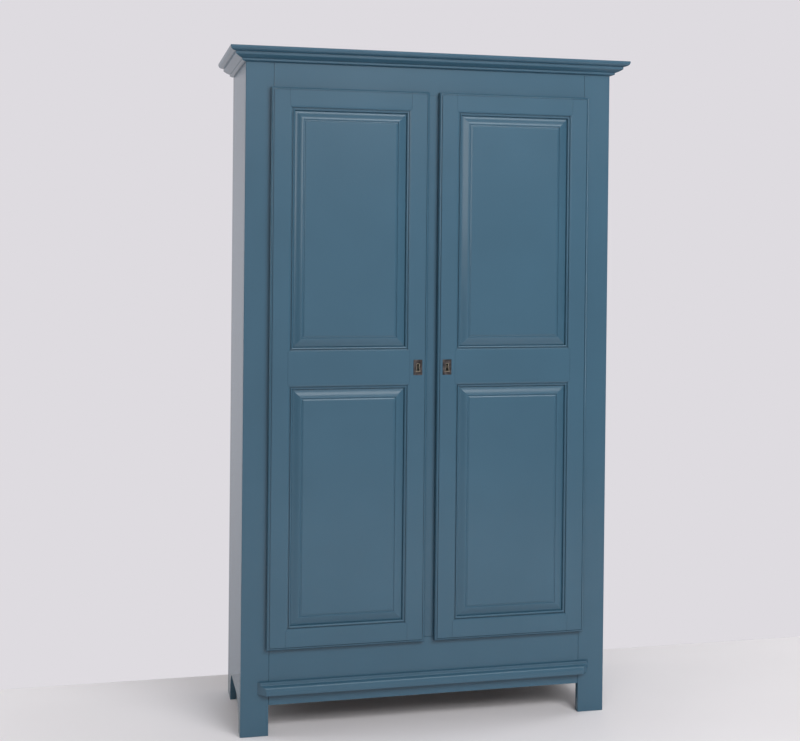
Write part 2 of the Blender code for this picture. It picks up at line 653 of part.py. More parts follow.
def door_blank(label, side):
    """Return the door's outer shape: a moulded lip with the thinner body behind it."""
    outer = side * DOOR_EDGE_X
    inner = side * (DOOR_EDGE_X - DOOR_WIDTH)
    straight = LIP_THICKNESS - EDGE_OVOLO_DEPTH - EDGE_STEP
    bm = box_mesh((outer, LIP_BACK_Y, DOOR_BOTTOM),
                  (inner, LIP_BACK_Y - straight, DOOR_BOTTOM + DOOR_HEIGHT))
    ovolo = [(EDGE_OVOLO_WIDTH * rise, EDGE_OVOLO_DEPTH * run)
             for run, rise in quarter_arc(1.0, 1.0, MOULDING_STEPS)]
    step = (EDGE_OVOLO_WIDTH, EDGE_OVOLO_DEPTH + EDGE_STEP)
    step_face(bm, face_towards(bm, (0, -1, 0)), ovolo + [step])
    step_face(bm, face_towards(bm, (0, 1, 0)),
              [(BODY_INSET, 0.0), (BODY_INSET, DOOR_BODY_DEPTH)])
    return add_mesh(f"{label}_door_blank", bm)


def moulding_waste(edge, toward):
    """Return the waste in front of a moulded edge, as (place across the rail, depth)."""
    start = edge - toward * STICK_WIDTH
    facet = start + toward * STICK_FACET_WIDTH
    quirk = STICK_FACET_DEPTH + STICK_QUIRK
    points = [(start, -OVERRUN), (start, 0.0), (facet, STICK_FACET_DEPTH), (facet, quirk)]
    points += [(facet + toward * run, quirk + rise) for run, rise in
               quarter_arc(STICK_BEAD_WIDTH, STICK_BEAD_DEPTH, STICK_STEPS)]
    past = edge + toward * OVERRUN
    return points + [(past, STICK_DEPTH), (past, -OVERRUN)]


def groove_waste(edge, toward):
    """Return the groove in a moulded edge, as (place across the rail, depth)."""
    floor, past = edge - toward * GROOVE_DEPTH, edge + toward * OVERRUN
    front, back = GROOVE_FRONT_Y - DOOR_FRONT_Y, GROOVE_BACK_Y - DOOR_FRONT_Y
    return [(floor, front), (past, front), (past, back), (floor, back)]


def cut_moulded_edge(piece, side, edge, toward, upright):
    """Cut the moulding and the panel groove along one edge, right past both of its ends."""
    for kind, waste in (("moulding", moulding_waste), ("groove", groove_waste)):
        if upright:
            place = axes_matrix((-side, 0, 0), (0, 1, 0), (0, 0, 1),
                                (side * DOOR_EDGE_X, DOOR_FRONT_Y, DOOR_BOTTOM - OVERRUN))
            length = DOOR_HEIGHT + 2 * OVERRUN
        else:
            place = axes_matrix((0, 0, 1), (0, 1, 0), (-side, 0, 0),
                                (side * (DOOR_EDGE_X + OVERRUN), DOOR_FRONT_Y, DOOR_BOTTOM))
            length = DOOR_WIDTH + 2 * OVERRUN
        way = "up" if toward > 0 else "down"
        cut(piece, add_mesh(f"{piece.name}_{kind}_{way}",
                            prism_mesh(waste(edge, toward), length, place)))


def stile_outline():
    """Return a door stile's outline as (distance in from the edge, height in the door)."""
    edge, flat, inner = -OVERRUN, DOOR_STILE_FLAT, DOOR_STILE_WIDTH
    points = [(edge, -OVERRUN), (flat, -OVERRUN)]
    for low, high in PANEL_OPENINGS.values():
        low += FIT / 2
        high -= FIT / 2
        points += [(flat, low - MITRE_WIDTH), (inner, low), (inner, high),
                   (flat, high + MITRE_WIDTH)]
    points += [(flat, DOOR_HEIGHT + OVERRUN), (edge, DOOR_HEIGHT + OVERRUN)]
    return points


def rail_outline(low, high, low_moulded, high_moulded):
    """Return a door rail's outline, mitred where an edge is moulded."""
    start = DOOR_STILE_FLAT + FIT
    points = []
    if low_moulded:
        points += [(start, low + MITRE_WIDTH), (start + MITRE_WIDTH, low)]
    else:
        points.append((start, low - OVERRUN))
    mirrored = [(DOOR_WIDTH - x, z) for x, z in reversed(points)]
    if high_moulded:
        tops = [(start + MITRE_WIDTH, high), (start, high - MITRE_WIDTH)]
    else:
        tops = [(start, high + OVERRUN)]
    mirrored += [(DOOR_WIDTH - x, z) for x, z in reversed(tops)]
    return points + mirrored + tops


def door_prism(side, outline):
    """Extrude a door outline right through the door's thickness."""
    place = axes_matrix((-side, 0, 0), (0, 0, 1), (0, side, 0),
                        (side * DOOR_EDGE_X, DOOR_FRONT_Y - OVERRUN, DOOR_BOTTOM))
    if side < 0:
        place = axes_matrix((1, 0, 0), (0, 0, 1), (0, -1, 0),
                            (-DOOR_EDGE_X, DOOR_BACK_Y + OVERRUN, DOOR_BOTTOM))
    return prism_mesh(outline, DOOR_THICKNESS + 2 * OVERRUN, place)


def door_box(name, side, near, far, front_y, back_y, low, high):
    """Add a cutter given by distances in from the door's hinge edge and up from its foot."""
    return add_box(name, (side * (DOOR_EDGE_X - near), front_y, DOOR_BOTTOM + low),
                   (side * (DOOR_EDGE_X - far), back_y, DOOR_BOTTOM + high))


def make_door(label, side):
    """Make one door's frame and panels, hung on an empty at its hinge axis."""
    hinge = bpy.data.objects.new(f"{label}_door_axis", None)
    hinge.location = (side * HINGE_X, HINGE_Y, DOOR_BOTTOM)
    WARDROBE.objects.link(hinge)
    blank = door_blank(label, side)
    rails = {
        "top": (DOOR_HEIGHT - DOOR_TOP_RAIL, DOOR_HEIGHT, True, False),
        "middle": (MIDDLE_RAIL_LOW, MIDDLE_RAIL_HIGH, True, True),
        "bottom": (0.0, DOOR_BOTTOM_RAIL, False, True),
    }
    stiles = {}
    for position in ("hinge", "lock"):
        outline, edge, toward = stile_outline(), DOOR_STILE_WIDTH, 1
        if position == "lock":
            outline = [(DOOR_WIDTH - x, z) for x, z in reversed(outline)]
            edge, toward = DOOR_WIDTH - DOOR_STILE_WIDTH, -1
        stiles[position] = add_mesh(f"{label}_door_{position}_stile",
                                    door_prism(side, outline), PAINT, hinge)
        cut(stiles[position], blank, "INTERSECT")
        cut_moulded_edge(stiles[position], side, edge, toward, upright=True)
    for level, (low, high, low_moulded, high_moulded) in rails.items():
        rail = add_mesh(f"{label}_door_{level}_rail", door_prism(
            side, rail_outline(low, high, low_moulded, high_moulded)), PAINT, hinge)
        tenon_low, tenon_high = low + DOOR_TENON_SHOULDER, high - DOOR_TENON_SHOULDER
        tenon_start = DOOR_STILE_FLAT - DOOR_TENON_LENGTH
        cut(rail, blank, "INTERSECT")
        if low_moulded:
            cut_moulded_edge(rail, side, low, -1, upright=False)
        if high_moulded:
            cut_moulded_edge(rail, side, high, 1, upright=False)
        cut(rail, door_box(f"{label}_{level}_door_tenons", side, tenon_start,
                           DOOR_WIDTH - tenon_start, GROOVE_FRONT_Y + FIT, GROOVE_BACK_Y - FIT,
                           tenon_low, tenon_high), "UNION")
        for position, stile in stiles.items():
            near, far = tenon_start - FIT, DOOR_STILE_FLAT + OVERRUN
            if position == "lock":
                near, far = DOOR_WIDTH - near, DOOR_WIDTH - far
            cut(stile, door_box(f"{label}_{level}_{position}_mortise", side, near, far,
                                GROOVE_FRONT_Y, GROOVE_BACK_Y, tenon_low - FIT,
                                tenon_high + FIT))
    for level in PANEL_OPENINGS:
        make_panel(label, level, side, hinge)
    make_hinges(label, side, stiles["hinge"], hinge)
    make_lock(label, side, stiles["lock"], hinge)


def make_panel(label, level, side, hinge):
    """Make one raised panel, whose tongue stands in the frame's groove."""
    low, high = PANEL_OPENINGS[level]
    reach = GROOVE_DEPTH - FIT
    outer = side * (DOOR_EDGE_X - DOOR_STILE_WIDTH + reach)
    inner = side * (DOOR_EDGE_X - DOOR_WIDTH + DOOR_STILE_WIDTH - reach)
    front = GROOVE_FRONT_Y + FIT
    bm = box_mesh((outer, front, DOOR_BOTTOM + low - reach),
                  (inner, front + TONGUE_THICKNESS, DOOR_BOTTOM + high + reach))
    spans = [
        (reach, 0.0),
        (PANEL_ROLL_WIDTH, PANEL_ROLL_RISE),
        (PANEL_HOLLOW_WIDTH, -PANEL_HOLLOW_FALL),
        (PANEL_OGEE_WIDTH, PANEL_OGEE_RISE),
        (PANEL_QUIRK_WIDTH, -PANEL_QUIRK_FALL),
        (PANEL_FILLET_WIDTH, PANEL_FILLET_RISE),
    ]
    profile = []
    inset, rise = 0.0, 0.0
    for width, climb in spans:
        inset += width
        rise += climb
        profile.append((inset, rise))
    step_face(bm, face_towards(bm, (0, -1, 0)), profile)
    add_mesh(f"{label}_door_{level}_panel", bm, PAINT, hinge)


def rod_mesh(radius, low, high):
    """Return an upright round rod on the axis x = y = 0."""
    bm = bmesh.new()
    bmesh.ops.create_cone(bm, cap_ends=True, segments=HINGE_SIDES, radius1=radius,
                          radius2=radius, depth=high - low)
    bmesh.ops.translate(bm, verts=bm.verts, vec=(0.0, 0.0, (low + high) / 2))
    return bm


def hinge_leaf(name, side, outline, barrels, place, door=None):
    """Make one leaf about its own axis: a cranked plate, and a tongue to each bored barrel."""
    plate = [(-side * x, y) for x, y in outline]
    leaf = add_mesh(name, prism_mesh(plate, HINGE_LENGTH, Matrix.Identity(4)), BRASS, door, place)
    tongue_y = outline[0][1]
    reach = HINGE_BARREL_RADIUS + HINGE_POCKET_CLEARANCE + HINGE_LEAF_THICKNESS
    for index, (low, high) in enumerate(barrels):
        tongue = box_mesh((0.0, tongue_y, low),
                          (-side * reach, tongue_y + HINGE_LEAF_THICKNESS, high))
        cut(leaf, add_mesh(f"{name}_tongue_{index + 1}", tongue, location=place), "UNION")
        barrel = rod_mesh(HINGE_BARREL_RADIUS, low, high)
        cut(leaf, add_mesh(f"{name}_barrel_{index + 1}", barrel, location=place), "UNION")
    bore = rod_mesh(HINGE_PIN_RADIUS + HINGE_PIN_CLEARANCE, -OVERRUN, HINGE_LENGTH + OVERRUN)
    cut(leaf, add_mesh(f"{name}_bore", bore, location=place))


def make_hinges(label, side, stile, hinge):
    """Make the door's hinges: a leaf on the frame, a leaf on the door and a pin in each."""
    clear = HINGE_BARREL_RADIUS + HINGE_POCKET_CLEARANCE
    thick = HINGE_LEAF_THICKNESS
    frame_edge = LIP_OVERLAP - HINGE_INSET
    body_edge = BODY_INSET - HINGE_INSET
    lip_back = HINGE_STANDOFF - LIP_GAP
    frame_y = HINGE_STANDOFF - FIT - thick
    door_y = lip_back - FIT - thick
    frame_plate = [(clear, frame_y), (frame_edge + FIT + thick, frame_y),
                   (frame_edge + FIT + thick, HINGE_STANDOFF + HINGE_FRAME_REACH),
                   (frame_edge + FIT, HINGE_STANDOFF + HINGE_FRAME_REACH),
                   (frame_edge + FIT, frame_y + thick), (clear, frame_y + thick)]
    door_x = body_edge + FIT
    door_plate = [(clear, door_y), (door_x + thick, door_y),
                  (door_x + thick, HINGE_STANDOFF + HINGE_DOOR_REACH),
                  (door_x, HINGE_STANDOFF + HINGE_DOOR_REACH),
                  (door_x, door_y + thick), (clear, door_y + thick)]
    reach = HINGE_STANDOFF + HINGE_DOOR_REACH + FIT
    pocket = [(-HINGE_INSET - OVERRUN, lip_back + OVERRUN), (-HINGE_INSET - OVERRUN, -clear),
              (clear, -clear), (clear, door_y - FIT), (door_x + thick + FIT, door_y - FIT),
              (door_x + thick + FIT, reach), (body_edge - OVERRUN, reach),
              (body_edge - OVERRUN, lip_back + OVERRUN)]
    span = DOOR_HEIGHT - 2 * HINGE_END_MARGIN
    third = HINGE_LENGTH / 3
    gap = HINGE_BARREL_GAP / 2
    for index in range(HINGE_COUNT):
        middle = DOOR_BOTTOM + HINGE_END_MARGIN + span * index / (HINGE_COUNT - 1)
        place = Vector((side * HINGE_X, HINGE_Y, middle - HINGE_LENGTH / 2))
        name = f"{label}_hinge_{index + 1}"
        cutter = prism_mesh([(-side * x, y) for x, y in pocket], HINGE_LENGTH + 2 * FIT,
                            Matrix.Translation((0.0, 0.0, -FIT)))
        cut(stile, add_mesh(f"{name}_pocket", cutter, location=place))
        hinge_leaf(f"{name}_frame_leaf", side, frame_plate,
                   [(0.0, third - gap), (2 * third + gap, HINGE_LENGTH)], place)
        hinge_leaf(f"{name}_door_leaf", side, door_plate, [(third + gap, 2 * third - gap)],
                   place, hinge)
        add_mesh(f"{name}_pin", rod_mesh(HINGE_PIN_RADIUS, 0.0, HINGE_LENGTH), BRASS,
                 location=place)


def keyhole_outline(relief):
    """Return a keyhole: a round eye over a flared skirt, grown by a relief all round."""
    radius = KEYHOLE_RADIUS + relief
    neck = math.asin((KEYHOLE_SKIRT_TOP / 2 + relief) / radius)
    start = -math.pi / 2 + neck
    sweep = 2 * (math.pi - neck)
    points = []
    for step in range(KEYHOLE_STEPS + 1):
        angle = start + sweep * step / KEYHOLE_STEPS
        points.append((radius * math.cos(angle), KEYHOLE_RISE + radius * math.sin(angle)))
    foot = KEYHOLE_SKIRT_FOOT / 2 + relief
    points += [(-foot, -KEYHOLE_DROP - relief), (foot, -KEYHOLE_DROP - relief)]
    return points


def make_lock(label, side, stile, hinge):
    """Make the lock let into the back of the door, its sliding bolt and the keyhole plate."""
    body_edge = DOOR_EDGE_X - DOOR_WIDTH + BODY_INSET
    edge = body_edge + FIT
    key_x = side * (DOOR_EDGE_X - DOOR_WIDTH + KEY_SETBACK)
    low, high = KEY_HEIGHT - CASE_BELOW_KEY, KEY_HEIGHT + CASE_ABOVE_KEY
    cut(stile, add_box(f"{label}_lock_recess",
                       (side * (body_edge - OVERRUN), CASE_FRONT_Y - FIT, low - FIT),
                       (side * (edge + CASE_WIDTH + FIT), DOOR_BACK_Y + OVERRUN, high + FIT)))
    through = prism_mesh(keyhole_outline(KEYHOLE_RELIEF), DOOR_THICKNESS + 2 * OVERRUN,
                         axes_matrix((1, 0, 0), (0, 0, 1), (0, -1, 0),
                                     (key_x, DOOR_BACK_Y + OVERRUN, KEY_HEIGHT)))
    cut(stile, add_mesh(f"{label}_stile_keyhole", through))
    case = add_box(f"{label}_lock_case", (side * edge, CASE_FRONT_Y, low),
                   (side * (edge + CASE_WIDTH), CASE_BACK_Y, high), STEEL, hinge)
    half_y, half_z = BOLT_THICKNESS / 2, BOLT_HEIGHT / 2
    cut(case, add_box(f"{label}_bolt_channel",
                      (side * (edge - OVERRUN), BOLT_Y - half_y - FIT, BOLT_Z - half_z - FIT),
                      (side * (edge + BOLT_LENGTH + FIT), BOLT_Y + half_y + FIT,
                       BOLT_Z + half_z + FIT)))
    cut(case, add_box(f"{label}_key_chamber",
                      (key_x - KEY_CHAMBER_WIDTH / 2, CASE_FRONT_Y - OVERRUN,
                       KEY_HEIGHT - KEY_CHAMBER_BELOW),
                      (key_x + KEY_CHAMBER_WIDTH / 2, CASE_BACK_Y - KEY_CHAMBER_WALL, BOLT_Z)))
    slide = bpy.data.objects.new(f"{label}_bolt_axis", None)
    slide.location = (side * edge, BOLT_Y, BOLT_Z)
    slide.parent = hinge
    slide.matrix_parent_inverse = Matrix.Translation(-hinge.location)
    WARDROBE.objects.link(slide)
    bolt = add_box(f"{label}_lock_bolt", (side * edge, BOLT_Y - half_y, BOLT_Z - half_z),
                   (side * (edge + BOLT_LENGTH), BOLT_Y + half_y, BOLT_Z + half_z), STEEL)
    bolt.parent = slide
    bolt.matrix_parent_inverse = Matrix.Translation(-slide.location)
    make_keyhole_plate(label, key_x, hinge)


def make_keyhole_plate(label, key_x, hinge):
    """Make the small bevelled plate round the keyhole."""
    half_x, half_z = PLATE_WIDTH / 2, PLATE_HEIGHT / 2
    bm = box_mesh((key_x - half_x, DOOR_FRONT_Y - FIT, KEY_HEIGHT - half_z),
                  (key_x + half_x, DOOR_FRONT_Y - FIT - PLATE_RIM, KEY_HEIGHT + half_z))
    step_face(bm, face_towards(bm, (0, -1, 0)),
              [(PLATE_BEVEL, PLATE_THICKNESS - PLATE_RIM)])
    plate = add_mesh(f"{label}_keyhole_plate", bm, BRASS, hinge)
    through = prism_mesh(keyhole_outline(0.0), PLATE_THICKNESS + 2 * OVERRUN,
                         axes_matrix((1, 0, 0), (0, 0, 1), (0, -1, 0),
                                     (key_x, DOOR_FRONT_Y + OVERRUN, KEY_HEIGHT)))
    cut(plate, add_mesh(f"{label}_plate_keyhole", through))


def main():
    """Build the whole wardrobe."""
    make_front_frame()
    make_sides()
    make_back()
    make_boards()
    make_pegs()
    make_cornice()
    make_plinth_moulding()
    for label, side in SIDES:
        make_door(label, side)


main()
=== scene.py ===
"""Dresses the painted two-door wardrobe: its mouldings, panels, plates, pegs, screws and finishes."""
import json
import math
from functools import partial

import bpy
from bpy.props import FloatProperty, FloatVectorProperty, IntProperty, PointerProperty
from mathutils import Matrix, Vector

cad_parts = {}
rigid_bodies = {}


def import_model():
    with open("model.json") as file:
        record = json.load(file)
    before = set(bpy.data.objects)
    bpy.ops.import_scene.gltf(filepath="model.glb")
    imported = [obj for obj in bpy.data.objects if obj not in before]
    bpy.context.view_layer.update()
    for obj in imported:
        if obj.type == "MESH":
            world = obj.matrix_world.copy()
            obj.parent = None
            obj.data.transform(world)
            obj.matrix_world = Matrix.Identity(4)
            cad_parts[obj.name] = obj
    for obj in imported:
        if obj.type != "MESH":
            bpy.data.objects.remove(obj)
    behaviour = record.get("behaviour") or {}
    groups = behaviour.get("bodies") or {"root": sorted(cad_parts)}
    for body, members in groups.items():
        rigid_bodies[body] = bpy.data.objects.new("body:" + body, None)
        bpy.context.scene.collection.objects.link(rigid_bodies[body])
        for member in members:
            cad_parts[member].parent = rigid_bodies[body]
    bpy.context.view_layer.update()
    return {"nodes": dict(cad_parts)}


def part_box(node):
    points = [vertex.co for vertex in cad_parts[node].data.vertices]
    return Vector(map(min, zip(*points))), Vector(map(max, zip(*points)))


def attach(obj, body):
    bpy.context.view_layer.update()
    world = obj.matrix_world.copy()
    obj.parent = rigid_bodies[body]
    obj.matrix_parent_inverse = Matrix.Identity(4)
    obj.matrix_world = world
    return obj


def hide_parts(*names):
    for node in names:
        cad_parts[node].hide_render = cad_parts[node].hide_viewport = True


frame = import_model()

bl_info = {
    "name": "Painted Wardrobe",
    "version": (1, 0, 0),
    "blender": (4, 5, 0),
    "location": "View3D > Sidebar > Wardrobe",
    "description": "Models and paints a two-door wardrobe with raised panels and a moulded cornice",
    "category": "Add Mesh",
}

MM = 0.001
WELD, HAIR, OVERRUN = 0.01 * MM, 0.05 * MM, 1 * MM
FLAT_ANGLE, TURNED_ANGLE, SCREW_ANGLE = (math.radians(angle) for angle in (0.5, 40, 30))
# The screws stop at different turns, in radians: along a hinge, and low and high on a lock.
FIRST_TURN, NEXT_TURN = 0.7, 1.1
CASE_TURNS = (0.4, 1.2)
# Ends cut at exactly 45 degrees are bevelled one way in one run and another in the next.
LEAN = 0.9995
SIDES = (("left", -1), ("right", 1))
LEVELS = ("lower", "upper")
UP, FRONT, BACK = (0, 0, 1), (0, -1, 0), (0, 1, 0)
# Nearly all of a noise pattern's values lie in this range.
NOISE_RANGE = {"From Min": 0.3, "From Max": 0.7}

PAINTED_NODES = {
    "satin_paint_upright": ("left_front_stile", "right_front_stile", "centre_post",
                            "left_side_panel", "right_side_panel"),
    "satin_paint_level": ("top_front_rail", "bottom_front_rail", "top_board"),
}
BARE_NODES = {
    "waxed_pine_upright": ("left_rear_stile", "right_rear_stile", "back_board_1",
                           "back_board_2", "back_board_3"),
    "waxed_pine_level": ("top_back_rail", "bottom_back_rail", "floor_board", "hat_shelf",
                         "peg_rail"),
    "waxed_pine_depth": ("left_shelf_cleat", "right_shelf_cleat"),
}


def srgb(code):
    """Turn an sRGB hex colour such as "#49657B" into linear red, green and blue."""
    values = [int(code[place:place + 2], 16) / 255 for place in (1, 3, 5)]
    return [v / 12.92 if v <= 0.04045 else ((v + 0.055) / 1.055) ** 2.4 for v in values]


def rgba(linear):
    """Add a full alpha to a linear colour."""
    return (*linear, 1.0)


def size_mm(name, millimetres, description):
    """Return a length that a user can change, given in millimetres."""
    return FloatProperty(name=name, description=description, default=millimetres * MM,
                         unit="LENGTH")


def angle_deg(name, degrees, description):
    """Return an angle that a user can change, given in degrees."""
    return FloatProperty(name=name, description=description, default=math.radians(degrees),
                         subtype="ANGLE")


def factor(name, default, description):
    """Return a share from 0 to 1 that a user can change."""
    return FloatProperty(name=name, description=description, default=default, min=0, max=1,
                         subtype="FACTOR")


def whole(name, default, least, description):
    """Return a whole number that a user can change."""
    return IntProperty(name=name, description=description, default=default, min=least)


def hex_colour(name, code, description):
    """Return a colour that a user can change, given as an sRGB hex colour."""
    return FloatVectorProperty(name=name, description=description, default=srgb(code), size=3,
                               min=0, max=1, subtype="COLOR")


class WARDROBE_PG_finish(bpy.types.PropertyGroup):
    """Colours and gloss of the finishes"""
    paint: hex_colour("Paint", "#38596C", "Colour of the satin paint")
    paint_roughness: factor("Paint roughness", 0.22, "Satin sheen of the paint")
    stroke_width: size_mm("Brush stroke", 3.0, "Width of one brush mark")
    pine: hex_colour("Pine", "#D3AB74", "Early wood of the waxed pine")
    pine_late: hex_colour("Pine rings", "#B78A54", "Late wood of the waxed pine")
    ring_width: size_mm("Ring width", 9.0, "Spacing of the growth rings")
    brass: hex_colour("Brass", "#706A68", "Rubbed brass on the high places")
    patina: hex_colour("Patina", "#3C3938", "Dark brown patina on the brass")
    lining: hex_colour("Lining", "#D6CDB6", "Bright brass of the keyhole lining")
    # These two set painted shade on the bare wood below the floor board, so that the floor under the
    # wardrobe gets little warm bounce light and stays dark.
    painted_shade_line: size_mm("Under line", 240.0, "Height below which the bare wood is dark with age")
    painted_shade_tone: factor("Under tone", 0.10, "Tone of the bare wood under the floor board")
    steel: hex_colour("Steel", "#8B8C8C", "Dull steel of the locks")


class WARDROBE_PG_edges(bpy.types.PropertyGroup):
    """How far the arrises are eased"""
    carcass: size_mm("Carcass arris", 1.4, "Easing of the carcass edges")
    moulding: size_mm("Moulding arris", 0.4, "Easing of the mouldings")
    door: size_mm("Door arris", 0.15, "Easing of the door frame's edges")
    metal: size_mm("Metal arris", 0.25, "Easing of the metal edges")
    smooth_angle: angle_deg("Smooth angle", 35,
                            "Faces that meet flatter than this are shaded as one")


class WARDROBE_PG_cornice(bpy.types.PropertyGroup):
    """The cornice's profile, from its top fillet down"""
    top_fillet: size_mm("Top fillet", 4.0, "Height of the square top edge")
    ovolo_width: size_mm("Ovolo width", 14.5, "How far the rounded part runs in")
    ovolo_drop: size_mm("Ovolo drop", 11.0, "How far the rounded part runs down")
    step: size_mm("Step", 1.5, "Step in under the rounded part")
    band: size_mm("Band", 7.0, "Height of the flat band")
    swell_drop: size_mm("Swell drop", 10.0, "How far the low swelling part runs down")
    swell_start: angle_deg("Swell start", 50, "Lean of the swelling part at its top")
    swell_end: angle_deg("Swell end", 75, "Lean of the swelling part at its foot")
    bead: size_mm("Bead", 5.0, "Height of the lowest band")
    foot: size_mm("Foot", 3.0, "Thickness of the lower edge")
    mitre_gap: size_mm("Mitre gap", 0.2, "Hairline left at each mitre")
    steps: whole("Curve steps", 12, 3, "Flats that make each curve")


class WARDROBE_PG_plinth(bpy.types.PropertyGroup):
    """The profile of the moulding across the bottom rail, from its nose up"""
    nose: size_mm("Nose", 11.5, "Height of the upright nose")
    step: size_mm("Step", 1.4, "How far the slope above the nose runs in")
    step_rise: size_mm("Step rise", 2.4, "How far the slope above the nose runs up")
    ovolo_width: size_mm("Ovolo width", 7.0, "How far the rounded part runs in")
    ovolo_rise: size_mm("Ovolo rise", 9.5, "How far the rounded part runs up")
    quirk: size_mm("Quirk", 1.2, "Narrow ledge above the rounded part")
    cove_width: size_mm("Cove width", 5.5, "How far the hollow runs in")
    cove_rise: size_mm("Cove rise", 3.5, "How far the hollow runs up")
    steps: whole("Curve steps", 10, 3, "Flats that make each curve")


class WARDROBE_PG_door(bpy.types.PropertyGroup):
    """The beads round the doors' panels, and the fine grooves in the faces of the frames"""
    bead: size_mm("Bead", 5.0, "Width of the bead round an opening")
    bead_slope: size_mm("Bead slope", 1.8, "How far the bead's face falls towards the panel")
    bead_round: size_mm("Bead round", 2.4, "Rounding of the bead towards the panel")
    bead_arris: size_mm("Bead arris", 1.0, "Rounding of the bead at its groove")
    bead_fall: size_mm("Bead fall", 1.1, "How far the bead lies below the door's face")
    bead_groove: size_mm("Bead groove", 3.4, "Width of the groove beside the bead")
    bead_groove_depth: size_mm("Bead groove depth", 5.6, "Depth below the door's face")
    groove_arris: size_mm("Groove arris", 1.2, "Rounding of the door's face at a bead's groove")
    round_over: size_mm("Round-over", 2.0, "Rounding of the door's outer arris")
    edge: size_mm("Edge", 6.2, "From the door's outer edge to its edge groove")
    edge_groove: size_mm("Edge groove", 1.9, "Width of the groove beside the rounded edge")
    edge_groove_depth: size_mm("Edge groove depth", 3.4, "Depth below the door's face")


class WARDROBE_PG_panel(bpy.types.PropertyGroup):
    """The raised panel's profile, from its tongue in to its flat field"""
    tongue: size_mm("Tongue", 7.7, "Width of the tongue that stands in the groove")
    tongue_thickness: size_mm("Tongue thickness", 5.0, "Thickness of the tongue")
    shoulder: size_mm("Shoulder", 1.5, "Small step up at the start of the rise")
    ogee_width: size_mm("Ogee width", 24.0, "Width of the long S-shaped rise")
    ogee_rise: size_mm("Ogee rise", 7.7, "Height of the long S-shaped rise")
    quirk_width: size_mm("Quirk width", 2.2, "Width of the fine groove")
    quirk_fall: size_mm("Quirk fall", 2.0, "Depth of the fine groove")
    fillet_width: size_mm("Fillet width", 5.5, "Width of the last rise up to the field")
    fillet_rise: size_mm("Fillet rise", 2.0, "Height of the last rise up to the field")
    steps: whole("Curve steps", 16, 4, "Flats that make each curve")


class WARDROBE_PG_plate(bpy.types.PropertyGroup):
    """The keyhole plates"""
    rim: size_mm("Rim", 0.8, "Upright edge of the plate")
    bevel: size_mm("Bevel", 2.6, "Width of the bevelled edge")
    eye: size_mm("Eye radius", 3.9, "Radius of the round of the keyhole")
    eye_rise: size_mm("Eye height", 7.0, "Height of the round above the plate's middle")
    skirt_top: size_mm("Skirt top", 4.0, "Width of the skirt where it leaves the round")
    skirt_foot: size_mm("Skirt foot", 12.0, "Width of the skirt at its foot")
    lining: size_mm("Lining", 1.0, "Wall of the sleeve that lines the keyhole")
    lining_fit: size_mm("Lining fit", 0.05, "Gap between the sleeve and the plate")
    lining_depth: size_mm("Lining depth", 13.0, "How deep the sleeve runs into the door")
    skirt_drop: size_mm("Skirt drop", 11.5, "Depth of the skirt below the plate's middle")
    mouth: factor("Mouth", 0.7, "Rounding of the sleeve's mouth, as a share of its wall")
    pin_radius: size_mm("Pin radius", 1.3, "Radius of the round pin heads")
    pin_dome: factor("Pin dome", 0.5, "Height of a pin head over its radius")
    pin_sunk: size_mm("Pin sunk", 0.1, "From the plate's face down to the foot of a pin head")
    pin_margin: size_mm("Pin margin", 4.2, "From the plate's end to the middle of a pin")
    steps: whole("Curve steps", 28, 8, "Flats round the eye of the keyhole")
    pin_steps: whole("Pin steps", 20, 8, "Flats round a pin head")


class WARDROBE_PG_peg(bpy.types.PropertyGroup):
    """The turned coat pegs"""
    shank: size_mm("Shank radius", 6.0, "Radius of the part let into the rail")
    neck: size_mm("Neck radius", 5.525, "Radius of the neck at its thinnest")
    neck_share: factor("Neck share", 0.55, "Part of the neck's length that tapers to there")
    collar_length: size_mm("Collar length", 3.5, "Length of the collar against the rail")
    collar_share: factor("Collar share", 0.95, "Radius of the collar over that of the head")
    head_length: size_mm("Head length", 18.0, "Length of the rounded head")
    curve_steps: whole("Curve steps", 8, 3, "Flats that make each curve along the peg")
    steps: whole("Turning steps", 40, 8, "Flats round the peg")


class WARDROBE_PG_screw(bpy.types.PropertyGroup):
    """The slotted countersunk screws"""
    head_radius: size_mm("Head radius", 2.6, "Radius of a screw's head")
    edge: size_mm("Edge", 0.3, "From a head's rim in to the edge of its crown")
    crown: size_mm("Crown", 1.2, "From a head's rim in to the flat of its crown")
    edge_rise: factor("Edge rise", 0.6, "Height of the crown's edge over that of the head")
    steps: whole("Head steps", 28, 8, "Flats round a head")
    proud: size_mm("Proud", 0.14, "How far a head stands above its leaf")
    sunk: size_mm("Sunk", 0.6, "How far a head is modelled below its leaf")
    slot_width: size_mm("Slot width", 0.7, "Width of the driver's slot")
    slot_depth: size_mm("Slot depth", 0.45, "Depth of the driver's slot")
    spacing: size_mm("Spacing", 25.0, "From one screw to the next along a hinge")
    offset: size_mm("Offset", 1.5, "From the middle of the stile's edge back to the screws")
    leaf: size_mm("Leaf", 1.6, "Thickness of a hinge leaf")
    door_leaf_show: size_mm("Door leaf", 6.4, "Width of the door leaf behind the door's lip")


